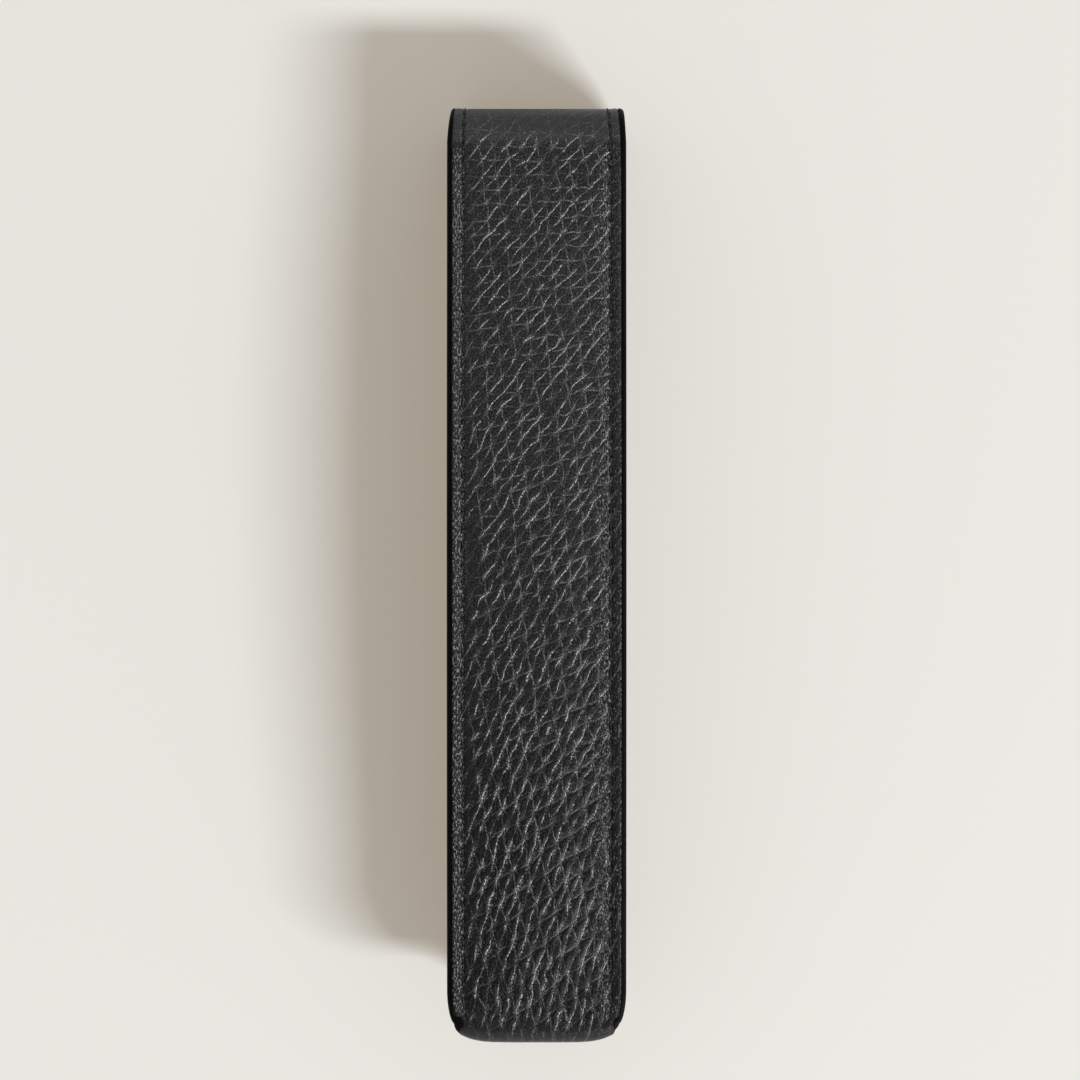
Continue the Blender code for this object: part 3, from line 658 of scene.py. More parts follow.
class Strip:
    """The outer leather as one grid, from the flap's tip to the pocket's mouth."""

    def __init__(self):
        u = columns_across()
        flap_y = flap_stations(FLAP_STEP)
        back_y = spaced(FOLD_Y, FOOT_TURN_Y, PANEL_STEP)
        front_y = np.concatenate([spaced(FOOT_TURN_Y, TROUGH_Y, END_STEP)[:-1],
                                  spaced(TROUGH_Y, MOUTH_Y, FRONT_STEP)])
        turn = np.linspace(0, math.pi, round(math.pi * FOOT_RADIUS / TURN_STEP))
        stretches = [("flap", flap_rows(u, flap_y), flap_y, 0 * flap_y, 1 + 0 * flap_y)]
        for number in (4, 3, 2, 1):
            t = fold_stations(number, TURN_STEP)
            stretches.append((f"fold_{number}", fold_rows(u, t), FOLD_Y + 0 * t, fold_rise(t),
                              fold_groove(t)))
        stretches.append(("back", back_rows(u, back_y), back_y, rise_share(back_y), 1 + 0 * back_y))
        stretches.append(("foot", foot_rows(u, turn), FOOT_Y + 0 * turn, 0 * turn, 0 * turn))
        stretches.append(("front", front_rows(u, front_y), front_y, 1 + 0 * front_y, 1 + 0 * front_y))
        self.rows = {}
        parts = []
        count = 0
        for name, grid, y, rise, groove in stretches:
            skip = 1 if parts else 0
            seam = np.ones(len(y))
            if name in ("back", "front"):
                seam = ease(y, FOOT_TURN_Y, SEAM_END_Y)
            if name == "foot":
                seam = 0 * y
            parts.append([part[skip:] for part in (grid, margin_place(u, name, y), seam, rise, groove)])
            self.rows[name] = (count - skip, count - skip + len(y) - 1)
            count += len(y) - skip
        self.base, self.margin, *shares = [np.concatenate(part) for part in zip(*parts)]
        self.lift = outward(self.base)
        self.flesh = self.base - self.lift * LEATHER
        self.measure()
        self.grain = self.grain_left()
        relief = margin_relief(self.margin, self.across > 0, *(share[:, None] for share in shares))
        relief -= self.mouth_relief()
        self.shaped = self.base + self.lift * relief[..., None]

    def measure(self):
        """Distances over the leather itself: across from the middle line, and along, as y on the back."""
        steps = np.linalg.norm(np.diff(self.base, axis=1), axis=-1)
        across = np.concatenate([np.zeros((len(steps), 1)), np.cumsum(steps, axis=1)], axis=1)
        middle = self.base.shape[1] // 2
        across -= across[:, middle:middle + 1]
        run = np.linalg.norm(np.diff(self.base[:, middle], axis=0), axis=-1)
        along = np.concatenate([[0], np.cumsum(run)])
        along = FOLD_Y - (along - along[self.rows["back"][0]])
        self.across = across
        self.along = along

    def grain_left(self):
        """How strong the grain is at each place."""
        v = self.along
        fold = ease(v - FOLD_Y, *FOLD_FADE) * (1 - ease(v - FOLD_Y - FOLD_LENGTH, 0, FLAP_FADE))
        foot_v, front_v = (v[self.rows[name][0]] for name in ("foot", "front"))
        foot = (1 - ease(v - foot_v, *FOOT_FADE)) * ease(v - front_v, -FRONT_FADE, 0)
        share = (1 - (1 - FOLD_GRAIN) * fold) * (1 - (1 - FOOT_GRAIN) * foot)
        lip = ease(self.margin, SEAM_X, SEAM_X + CRUMPLE_RISE)
        flank = 1 - ease(self.across, -SEAM_X, -SEAM_X + FLANK)
        lost = 1 - np.where(self.across > 0, RIGHT_LIP_GRAIN, LIP_GRAIN)
        return share[:, None] * (1 - lost * lip) * (1 - (1 - FLANK_GRAIN) * flank)

    def stretched(self):
        """How tightly the leather is drawn: round the fold and round the closed end."""
        v = self.along
        fold = ease(v - FOLD_Y, *FOLD_DRAWN) * (1 - ease(v - FOLD_Y - FOLD_LENGTH, *FLAP_DRAWN))
        foot_v, front_v = (v[self.rows[name][0]] for name in ("foot", "front"))
        foot = (1 - ease(v - foot_v, *FOOT_DRAWN)) * ease(v - front_v, *FRONT_DRAWN)
        return np.broadcast_to(np.maximum(fold, FOOT_STRETCH * foot)[:, None], self.margin.shape)

    def crumple_and_highlight(self):
        """How much crumple the seam gives the sewn margin, as relief and as painted highlights: not over the
        fold or the closed end, and less on the right, where the leather beside the seam gets a painted
        highlight too, as does the right edge's rim below the upper part."""
        rows = slice(*self.rows["back"])
        along = np.zeros(len(self.along))
        along[rows] = 1 - ease(self.along[rows], FOLD_Y - CRUMPLE_AT_FOLD, FOLD_Y)
        along[rows] *= ease(self.along[rows], FOOT_TURN_Y, FOOT_TURN_Y + CRUMPLE_AT_FOOT)
        inner, outer = (np.where(self.across > 0, *ends) for ends in zip(RIGHT_CRUMPLE_BAND, LEFT_CRUMPLE_BAND))
        rise = ease(self.margin, inner, inner + CRUMPLE_RISE)
        lip = ease(self.margin, outer, outer + CRUMPLE_FALL)
        sides = rise * (1 - lip) * np.where(self.across > 0, RIGHT_CRUMPLE, LEFT_CRUMPLE)
        # Painted highlights: the right flank beside the seam, which rolls towards the window, and a line
        # along the right edge's rim
        flank = RIGHT_FLANK_HIGHLIGHT * ease(self.across, SEAM_X - FLANK, SEAM_X - CRUMPLE_RISE) * (1 - rise)
        rim = np.where(self.across > 0, RIM_HIGHLIGHT, 0) * hump(self.margin, RIM_PLACE, RIM_SPREAD)
        rim = rim * (1 - ease(self.along, RIM_FROM, RIM_TO))[:, None]
        return along[:, None] * np.maximum(np.maximum(sides, flank), rim)

    def mouth_relief(self):
        """The sink of the mouth's seam, across the trough."""
        first, last = self.rows["front"]
        down = self.along[last] - self.along
        over = 1 - ease(np.abs(self.base[..., 0]), FLANGE_X - FLANGE_FILLET, FLANGE_X)
        line = hump(-down, MOUTH_SEAM_INSET, GROOVE_SPREAD)
        line[:first] = 0
        return GROOVE_SINK * line[:, None] * over

    def pierce(self, holes):
        """Presses needle holes into the leather."""
        flat = self.shaped.reshape(-1, 3)
        lift = self.lift.reshape(-1, 3)
        tree = kdtree.KDTree(len(flat))
        for i, point in enumerate(flat):
            tree.insert(point, i)
        tree.balance()
        sunk = np.zeros(len(flat))
        for hole in holes:
            for _, i, distance in tree.find_range(hole, HOLE_REACH):
                sunk[i] = max(sunk[i], HOLE_SINK * math.exp(-(distance / HOLE_SPREAD) ** 2))
        self.shaped = (flat - lift * sunk[:, None]).reshape(self.shaped.shape)

    def grained(self, material, size):
        """The points and normals of the grain side, displaced by the grain's tree."""
        rows, columns = self.margin.shape
        corner = np.arange(rows * columns).reshape(rows, columns)
        mesh = plain_mesh("strip", self.shaped.reshape(-1, 3), grid_faces(corner))
        store(mesh, "strip", self.strip_places().reshape(-1, 3))
        store(mesh, "grain", self.grain.ravel())
        store(mesh, "lift", self.lift.reshape(-1, 3))
        done = grown(show("strip", mesh), grain_tree(), {
            "Cell width": size.cell_width, "Cell length": size.cell_length,
            "Crease depth": size.crease_depth, "Dome height": size.dome_height, "Material": material,
        })
        points = np.empty(rows * columns * 3, np.float32)
        done.vertices.foreach_get("co", points)
        normals = np.empty(rows * columns * 3, np.float32)
        done.vertex_normals.foreach_get("vector", normals)
        bpy.data.meshes.remove(done)
        shape = (rows, columns, 3)
        return points.reshape(shape).astype(float), normals.reshape(shape).astype(float)

    def strip_places(self):
        return laid(self.across, self.along[:, None], 0.0)


def grain_tree():
    """Raises the grain's cells between their creases, along each point's own direction."""
    tree, given = new_tree("leather_grain", [
        ("Cell width", "NodeSocketFloat"), ("Cell length", "NodeSocketFloat"),
        ("Crease depth", "NodeSocketFloat"), ("Dome height", "NodeSocketFloat"),
        ("Material", "NodeSocketMaterial"),
    ])
    place, lift, share = [
        add(tree, "GeometryNodeInputNamedAttribute", {"Name": name}, data_type=kind).outputs["Attribute"]
        for name, kind in (("strip", "FLOAT_VECTOR"), ("lift", "FLOAT_VECTOR"), ("grain", "FLOAT"))
    ]
    creases = grain_pattern(tree, place, given["Cell width"], given["Cell length"])
    along = add(tree, "ShaderNodeSeparateXYZ", {0: place}).outputs["Y"]
    deeper = add(tree, "ShaderNodeMapRange", {
        "Value": along, "From Min": LOW_FROM, "From Max": LOW_TO, "To Min": 1.0, "To Max": 1 + FOOT_DEEPER,
    })
    swells = [
        add(tree, "ShaderNodeMapRange", {"Value": gap, "From Min": 0.0, "From Max": 0.5},
            interpolation_type="SMOOTHSTEP")
        for _, gap, _ in creases[:2]
    ]
    dome = add(tree, "ShaderNodeMath", dict(enumerate(swells)), operation="MULTIPLY")
    # The tops of the cells stay on the frame's own surface, so that the case lies on the floor
    sunk = add(tree, "ShaderNodeMath", {0: dome, 1: 1.0}, operation="SUBTRACT")
    height = add(tree, "ShaderNodeMath", {0: sunk, 1: given["Dome height"]}, operation="MULTIPLY")
    for (_, gap, strength), depth in zip(creases, (1.0, CROSS_CREASE, CROSS_CREASE)):
        near = add(tree, "ShaderNodeMapRange", {"Value": gap, "From Min": FURROW_REACH, "From Max": 0.0},
                   interpolation_type="SMOOTHSTEP")
        furrow = add(tree, "ShaderNodeMath", {0: strength, 1: near}, operation="MULTIPLY")
        deep = add(tree, "ShaderNodeMath", {0: given["Crease depth"], 1: -depth}, operation="MULTIPLY")
        height = add(tree, "ShaderNodeMath", {0: furrow, 1: deep, 2: height}, operation="MULTIPLY_ADD")
    height = add(tree, "ShaderNodeMath", {0: height, 1: deeper}, operation="MULTIPLY")
    left = add(tree, "ShaderNodeMath", {0: height, 1: share}, operation="MULTIPLY")
    offset = add(tree, "ShaderNodeVectorMath", {0: lift, "Scale": left}, operation="SCALE")
    moved = add(tree, "GeometryNodeSetPosition", {"Geometry": given["Geometry"], "Offset": offset})
    close_tree(tree, moved, given["Material"])
    return tree


def sheet_mesh(name, top, under, material, normals=None, under_columns=9, extra=()):
    """A closed sheet between a grain side and an under side with the same rows. The under side keeps only
    some of the columns. extra holds (name, values) pairs for the points of the grain side."""
    rows, columns = top.shape[:2]
    kept = np.unique(np.linspace(0, columns - 1, min(columns, under_columns)).round().astype(int))
    corner = np.arange(rows * columns).reshape(rows, columns)
    below = rows * columns + np.arange(rows * len(kept)).reshape(rows, len(kept))
    flesh = np.stack([below[:-1, :-1], below[:-1, 1:], below[1:, 1:], below[1:, :-1]], -1)
    left = np.stack([corner[:-1, 0], below[:-1, 0], below[1:, 0], corner[1:, 0]], -1)
    right = np.stack([corner[:-1, -1], corner[1:, -1], below[1:, -1], below[:-1, -1]], -1)
    faces = grid_faces(corner)
    grain_loops = 4 * len(faces)
    faces += flesh.reshape(-1, 4).tolist() + left.tolist() + right.tolist()
    for k in range(len(kept) - 1):
        span = slice(kept[k], kept[k + 1] + 1)
        faces.append(corner[0, span].tolist() + [below[0, k + 1], below[0, k]])
        faces.append(corner[-1, span][::-1].tolist() + [below[-1, k], below[-1, k + 1]])
    points = np.concatenate([top.reshape(-1, 3), under[:, kept].reshape(-1, 3)])
    mesh = plain_mesh(name, points, faces, material)
    for label, values in extra:
        flat = values.reshape(rows * columns, -1)
        few = values[:, kept].reshape(rows * len(kept), -1)
        store(mesh, label, np.concatenate([flat, few]).squeeze())
    if normals is None:
        mesh.set_sharp_from_angle(angle=math.radians(50))
        return mesh
    loops = np.empty((len(mesh.loops), 3), np.float32)
    vertices = np.empty(len(mesh.loops), np.int32)
    mesh.loops.foreach_get("vertex_index", vertices)
    counts = np.empty(len(mesh.polygons), np.int32)
    mesh.polygons.foreach_get("loop_total", counts)
    flat_normals = np.empty(len(mesh.polygons) * 3, np.float32)
    mesh.polygons.foreach_get("normal", flat_normals)
    loops[:] = np.repeat(flat_normals.reshape(-1, 3), counts, axis=0)
    loops[:grain_loops] = normals.reshape(-1, 3)[vertices[:grain_loops]]
    mesh.normals_split_custom_set(loops)
    return mesh


def settle(piece, body, nodes=()):
    """Puts a piece on its body and hides the CAD nodes it stands for."""
    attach(piece, body)
    if nodes:
        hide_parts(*nodes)


def bend(piece, number, nodes=(), depth=0.0):
    """Works out where the piece's part of the fold's round starts and ends, bakes its transform into its
    mesh and hides the CAD nodes it stands for.
    """
    span = HALF_TURNS[number - 1] + np.array([0, QUARTER_TURN / 2])
    start, end = fold_rows(np.zeros(1), span, depth)[:, 0]
    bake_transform(piece)
    if nodes:
        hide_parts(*nodes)


# Seams

# A stitch's arch from hole to hole, as shares of its length and of the thread's thickness; the thread's
# twist and how flat it is; the least and the most that a stitch sways
STITCH_ARCH = (("Start", -0.5, -0.85), ("Start Handle", -0.36, 0.38), ("End Handle", 0.36, 0.38),
               ("End", 0.5, -0.85))
STITCH_TWIST = 2.6 * math.pi
STITCH_OVAL = 0.7
STITCH_SWAY = ((-0.4, -0.05, 0.02), (0.4, 0.05, 0.3))

# The points of a seam's path, how far from the fold and from the closed end it stops, how deep it lies in
# threads, or as a length on the flap, and the few stitches sewn twice below the fold
SEAM_STEP = 0.5 * MM
SEAM_FROM_FOLD = 1.2 * MM
SEAM_FROM_END = 0.6 * MM
THREAD_SINK = 0.36
FLAP_SEAM_SINK = 0.1 * MM
TACK_START = FOLD_Y - 0.4 * MM
TACK_END = FOLD_Y - 7.4 * MM
TACK_ASIDE = -0.3 * MM


def seam_line(points, normals, sink):
    """A seam's path and its outward directions, sunk under the surface."""
    return points - normals * sink, normals


def side_seam(rows, side, aside=0.0):
    """A straight seam's path on a surface: rows(u) gives its grid for a few columns."""
    grid = rows(np.sort((SLOPE_STEPS + SEAM_X + aside) * side))
    return grid[:, 1], outward(grid)[:, 1]


def walked(points, normals, pitch):
    """Evenly spaced places along a path, about pitch apart, and the holes halfway between them."""
    run = np.concatenate([[0], np.cumsum(np.linalg.norm(np.diff(points, axis=0), axis=1))])
    count = max(1, round(run[-1] / pitch))
    marks = np.linspace(0, run[-1], 2 * count + 1)

    def at(values):
        return np.stack([np.interp(marks, run, values[:, i]) for i in range(3)], -1)

    return at(points), at(normals)


def stitch_tree():
    """Lays a stitch at each step along a path: a twisted thread that comes up out of one hole and goes
    down into the next."""
    tree, given = new_tree("stitches", [
        ("Pitch", "NodeSocketFloat"), ("Length", "NodeSocketFloat"), ("Thread", "NodeSocketFloat"),
        ("Seed", "NodeSocketInt"), ("Material", "NodeSocketMaterial"),
    ])
    path = add(tree, "GeometryNodeMeshToCurve", {"Mesh": given["Geometry"]})
    steps = add(tree, "GeometryNodeResampleCurve", {"Curve": path, "Length": given["Pitch"]}, mode="LENGTH")
    bends = {"Resolution": 9}
    for name, ahead, up in STITCH_ARCH:
        x = add(tree, "ShaderNodeMath", {0: given["Length"], 1: ahead}, operation="MULTIPLY")
        z = add(tree, "ShaderNodeMath", {0: given["Thread"], 1: up}, operation="MULTIPLY")
        bends[name] = add(tree, "ShaderNodeCombineXYZ", {"X": x, "Z": z})
    arch = add(tree, "GeometryNodeCurvePrimitiveBezierSegment", bends)
    run = add(tree, "GeometryNodeSplineParameter", {})
    twist = add(tree, "ShaderNodeMath", {0: run.outputs["Factor"], 1: STITCH_TWIST}, operation="MULTIPLY")
    turned = add(tree, "GeometryNodeSetCurveTilt", {"Curve": arch, "Tilt": twist})
    marked = add(tree, "GeometryNodeStoreNamedAttribute", {
        "Geometry": turned, "Name": "ply_along", "Value": run.outputs["Factor"],
    }, data_type="FLOAT", domain="POINT")
    radius = add(tree, "ShaderNodeMath", {0: given["Thread"], 1: 0.5}, operation="MULTIPLY")
    ring = add(tree, "GeometryNodeCurvePrimitiveCircle", {"Resolution": 6, "Radius": radius}, mode="RADIUS")
    oval = add(tree, "GeometryNodeTransform", {"Geometry": ring, "Scale": (1, STITCH_OVAL, 1)})
    around = add(tree, "GeometryNodeSplineParameter", {})
    marked_ring = add(tree, "GeometryNodeStoreNamedAttribute", {
        "Geometry": oval, "Name": "ply_around", "Value": around.outputs["Factor"],
    }, data_type="FLOAT", domain="POINT")
    stitch = add(tree, "GeometryNodeCurveToMesh", {
        "Curve": marked, "Profile Curve": marked_ring, "Fill Caps": True,
    })
    ahead = add(tree, "GeometryNodeInputTangent", {})
    up = add(tree, "GeometryNodeInputNamedAttribute", {"Name": "up"}, data_type="FLOAT_VECTOR")
    stand = add(tree, "FunctionNodeAxesToRotation", {0: ahead, 1: up.outputs["Attribute"]},
                primary_axis="X", secondary_axis="Z")
    placed = add(tree, "GeometryNodeInstanceOnPoints", {
        "Points": steps, "Instance": stitch, "Rotation": stand,
    })
    sway = add(tree, "FunctionNodeRandomValue", {
        "Min": STITCH_SWAY[0], "Max": STITCH_SWAY[1], "Seed": given["Seed"],
    }, data_type="FLOAT_VECTOR")
    swayed = add(tree, "GeometryNodeRotateInstances", {
        "Instances": placed, "Rotation": sway, "Local Space": True,
    })
    close_tree(tree, swayed, given["Material"])
    return tree


def stitch_path(points, normals):
    """A seam's path as a chain of edges that carries its outward directions."""
    mesh = bpy.data.meshes.new("seam_path")
    mesh.from_pydata(points, [(i, i + 1) for i in range(len(points) - 1)], [])
    store(mesh, "up", normals)
    return show("seam_path", mesh)


def seams_of_case():
    """Each seam as a name and a list of (points, normals) paths from stitch to stitch."""
    last = SEAM_END_Y + SEAM_FROM_END
    back_y = spaced(FOLD_Y - SEAM_FROM_FOLD, last, SEAM_STEP)
    front_y = spaced(last, MOUTH_Y - MOUTH_SEAM_INSET - GROOVE_WIDTH, SEAM_STEP)
    seams = {}
    for word, side in (("left", -1), ("right", 1)):
        tack_y = spaced(TACK_START, TACK_END, SEAM_STEP)
        seams[f"{word}_back"] = [side_seam(lambda u: back_rows(u, back_y), side),
                                 side_seam(lambda u: back_rows(u, tack_y), side, TACK_ASIDE)]
        seams[f"{word}_front"] = [side_seam(lambda u: front_rows(u, front_y), side)]
    u = spaced(-FLANGE_X + FLANGE_FILLET, FLANGE_X - FLANGE_FILLET, 0.25 * MM)
    grid = front_rows(u, MOUTH_Y - MOUTH_SEAM_INSET + SLOPE_STEPS)
    seams["mouth"] = [(grid[1], outward(grid)[1])]
    seams["flap"] = [flap_seam()]
    return seams


def flap_seam():
    """Round the flap at the seam's inset, from one end of the fold to the other."""
    inset = SEAM_INSET - PAINT - GLUE
    radius = FLAP_TIP_RADIUS - inset
    side = FLAP_EDGE - inset
    turn = np.linspace(0, math.pi / 2, 16)
    x = side - radius + radius * np.cos(turn)
    y = FLAP_TIP_Y + FLAP_TIP_RADIUS - radius * np.sin(turn)
    straight = spaced(FOLD_Y - SEAM_FROM_FOLD, y[0], SEAM_STEP)[:-1]
    x = np.concatenate([side + 0 * straight, x])
    y = np.concatenate([straight, y])
    flat = spaced(x[-1], -x[-1], SEAM_STEP)[1:-1]
    x = np.concatenate([x, flat, -x[::-1]])
    y = np.concatenate([y, y[-1] + 0 * flat, y[::-1]])
    points = laid(x, y, FLAP_SEAM_SINK)
    return points, np.tile((0.0, 0.0, -1.0), (len(points), 1))


def fold_seams(pitch):
    """The side seams over the fold, cut into stitches and shared out to its four pieces."""
    t = spaced(0.5 * pitch, FOLD_LENGTH - 0.5 * pitch, 0.1 * MM)
    shared = {number: [] for number in (1, 2, 3, 4)}
    holes = []
    for side in (-1, 1):
        points, normals = side_seam(lambda u: fold_rows(u, t[::-1]), side)
        spots, ups = walked(points, normals, pitch)
        middle = t[::-1][np.linspace(0, len(t) - 1, len(spots)).round().astype(int)]
        holes += list(spots[1::2])
        for i in range(0, len(spots), 2):
            number = int(np.searchsorted(FOLD_CUTS, middle[i]))
            near = slice(max(0, i - 1), i + 2)
            shared[min(4, max(1, number))].append((spots[near], ups[near]))
    return shared, holes


# Finishes

def new_finish(name):
    material = bpy.data.materials.new(name)
    material.use_nodes = True
    tree = material.node_tree
    return material, tree, tree.nodes["Principled BSDF"]


def leather_finish(finish, size):
    """Tumbled full-grain cowhide in black: satin pebbles between creases whose flecks of light are painted
    highlights in the colour, pores on the pebbles, and a smooth greyer skin where it is stretched, which is
    partly a painted reflection of the room. The colour is painted darker towards the closed end and lighter
    towards the fold, as painted shade and light."""
    material, tree, shader = new_finish("tumbled_cowhide")
    # The crumple values carry both the margins' relief, in the bump, and where their fibres get painted
    # highlights
    place, share, crumple, stretch = [
        add(tree, "ShaderNodeAttribute", {}, attribute_name=name).outputs[kind]
        for name, kind in (("strip", "Vector"), ("grain", "Fac"), ("crumple", "Fac"), ("stretch", "Fac"))
    ]
    creases = grain_pattern(tree, place, size.cell_width, size.cell_length)
    along = add(tree, "ShaderNodeSeparateXYZ", {0: place}).outputs["Y"]
    low = add(tree, "ShaderNodeMapRange", {"Value": along, "From Min": LOW_FROM, "From Max": LOW_TO})
    pores, flecks, clusters, fibres = [
        add(tree, "ShaderNodeTexNoise", {
            "Vector": add(tree, "ShaderNodeVectorMath", {0: place, 1: squeeze}, operation="MULTIPLY"),
            "Scale": 1 / grit, "Detail": 2.0, "Roughness": 0.7,
        }, noise_dimensions="2D").outputs["Fac"]
        for squeeze, grit in (((1.0, 1.0, 1.0), 0.3 * MM), ((1.3, 0.8, 1.0), 0.26 * MM),
                              ((1.2, 0.7, 1.0), 1.4 * MM), ((1.2, 0.5, 1.0), 0.32 * MM))
    ]
    # The faint lines stay where the leather is stretched. To the closed end the long creases widen and the
    # flat ones fade.
    soft, firm = [
        add(tree, "ShaderNodeMath", {0: stretch, 1: kept, 2: share}, operation="MULTIPLY_ADD",
            use_clamp=True)
        for kept in (STRETCHED_NET, STRETCHED_LONG)
    ]
    reach = add(tree, "ShaderNodeMapRange", {"Value": low, "To Min": 0.1, "To Max": 0.105})
    faded = add(tree, "ShaderNodeMapRange", {"Value": low, "To Min": 0.29, "To Max": 0.14})
    line = 0.0
    folded = 0.0
    for (_, gap, strength), (left, wide, deep, shown) in zip(creases, (
            (firm, reach, 0.11, 0.9), (soft, 0.08, 0.06, faded), (soft, 0.08, 0.06, 0.29),
            (soft, 0.12, 0.02, 0.12), (soft, 0.14, 0.02, 0.14), (soft, 0.08, 0.02, 0.1))):
        near = add(tree, "ShaderNodeMapRange", {"Value": gap, "From Min": wide, "From Max": 0.0},
                   interpolation_type="SMOOTHSTEP")
        mark = add(tree, "ShaderNodeMath", {0: near, 1: strength}, operation="MULTIPLY")
        mark = add(tree, "ShaderNodeMath", {0: mark, 1: left}, operation="MULTIPLY")
        folded = add(tree, "ShaderNodeMath", {0: mark, 1: -deep, 2: folded}, operation="MULTIPLY_ADD")
        seen = add(tree, "ShaderNodeMath", {0: mark, 1: shown}, operation="MULTIPLY")
        line = add(tree, "ShaderNodeMath", {0: seen, 1: line}, operation="MAXIMUM")
    # Heights in millimetres, brought to metres by the bump's distance
    pored = add(tree, "ShaderNodeMath", {0: pores, 1: 0.06, 2: folded}, operation="MULTIPLY_ADD")
    frayed = add(tree, "ShaderNodeMath", {0: fibres, 1: crumple}, operation="MULTIPLY")
    height = add(tree, "ShaderNodeMath", {0: frayed, 1: 0.3, 2: pored}, operation="MULTIPLY_ADD")
    bump = add(tree, "ShaderNodeBump", {"Height": height, "Distance": MM, "Strength": 1.0})
    # Painted highlights: the creases are whitened in flecks where they would catch the window, and painted
    # glints are strewn to their right towards the closed end
    sparkle = add(tree, "ShaderNodeMapRange", {"Value": flecks, "From Min": 0.44, "From Max": 0.6,
                                               "To Min": 0.0, "To Max": 1.5})
    highlight_mask = add(tree, "ShaderNodeMath", {0: line, 1: sparkle}, operation="MULTIPLY")
    side, _, strength = creases[0]
    strewn = strength
    for value, start, end in ((side, 0.45, 0.08), (side, -0.08, 0.0), (clusters, 0.44, 0.56),
                              (flecks, 0.5, 0.6)):
        part = add(tree, "ShaderNodeMapRange", {"Value": value, "From Min": start, "From Max": end},
                   interpolation_type="SMOOTHSTEP")
        strewn = add(tree, "ShaderNodeMath", {0: strewn, 1: part}, operation="MULTIPLY")
    for part in (low, share):
        strewn = add(tree, "ShaderNodeMath", {0: strewn, 1: part}, operation="MULTIPLY")
    highlight_mask = add(tree, "ShaderNodeMath", {0: strewn, 1: 0.5, 2: highlight_mask}, operation="MULTIPLY_ADD")
    # Painted highlight specks on the pebbles' tops, more towards the fold and fewer towards the closed end
    speckle_highlight = add(tree, "ShaderNodeMapRange", {"Value": low, "To Min": 0.085, "To Max": 0.015})
    tops = add(tree, "ShaderNodeMapRange", {"Value": pores, "From Min": 0.5, "From Max": 0.7},
               interpolation_type="SMOOTHSTEP")
    highlight_mask = add(tree, "ShaderNodeMath", {0: tops, 1: speckle_highlight, 2: highlight_mask}, operation="MULTIPLY_ADD")
    # Painted highlights on the fibres: the more crumple the leather has, the more of its fibres are painted
    # light
    lit_fibres = add(tree, "ShaderNodeMath", {0: crumple, 1: 0.2, 2: fibres}, operation="MULTIPLY_ADD")
    fibre_highlight = add(tree, "ShaderNodeMapRange", {"Value": lit_fibres, "From Min": 0.7, "From Max": 0.86},
                 interpolation_type="SMOOTHSTEP")
    highlight_mask = add(tree, "ShaderNodeMath", {0: fibre_highlight, 1: 0.46, 2: highlight_mask}, operation="MULTIPLY_ADD",
                use_clamp=True)
    # Painted shade: the leather's colour is lighter towards the fold and darker towards the closed end
    painted_shade = add(tree, "ShaderNodeMapRange", {"Value": low, "To Min": 1.9, "To Max": 0.4})
    dye_and_shade = add(tree, "ShaderNodeVectorMath", {0: tuple(finish.leather), "Scale": painted_shade}, operation="SCALE")
    # Partly a painted reflection: the greyer stretched skin round the fold and the closed end
    skin = add(tree, "ShaderNodeMix", {"Factor": stretch, "A": dye_and_shade, "B": (*finish.stretched, 1)},
               data_type="RGBA")
    tint = add(tree, "ShaderNodeMix", {"Factor": highlight_mask, "A": skin, "B": (*finish.painted_highlight, 1)},
               data_type="RGBA")
    gloss = add(tree, "ShaderNodeMapRange", {"Value": pores, "To Min": 0.28, "To Max": 0.42})
    fill(tree, shader, {"Base Color": tint, "Roughness": gloss, "Normal": bump, "Specular IOR Level": 0.2})
    return material


def paint_finish(finish):
    """Acrylic edge paint, rolled on in coats and left to level: deep black and smooth, with little gloss
    and a slow waviness from the roller."""
    material, tree, shader = new_finish("acrylic_edge_paint")
    place = add(tree, "ShaderNodeTexCoord", {}).outputs["Object"]
    wave = add(tree, "ShaderNodeTexNoise", {"Vector": place, "Scale": 1 / (1.8 * MM), "Detail": 2.0})
    bump = add(tree, "ShaderNodeBump", {"Height": wave, "Distance": 0.03 * MM, "Strength": 1.0})
    gloss = add(tree, "ShaderNodeMapRange", {"Value": wave, "To Min": 0.45, "To Max": 0.6})
    fill(tree, shader, {"Base Color": (*finish.paint, 1), "Roughness": gloss, "Normal": bump,
                        "Specular IOR Level": 0.06})
    return material


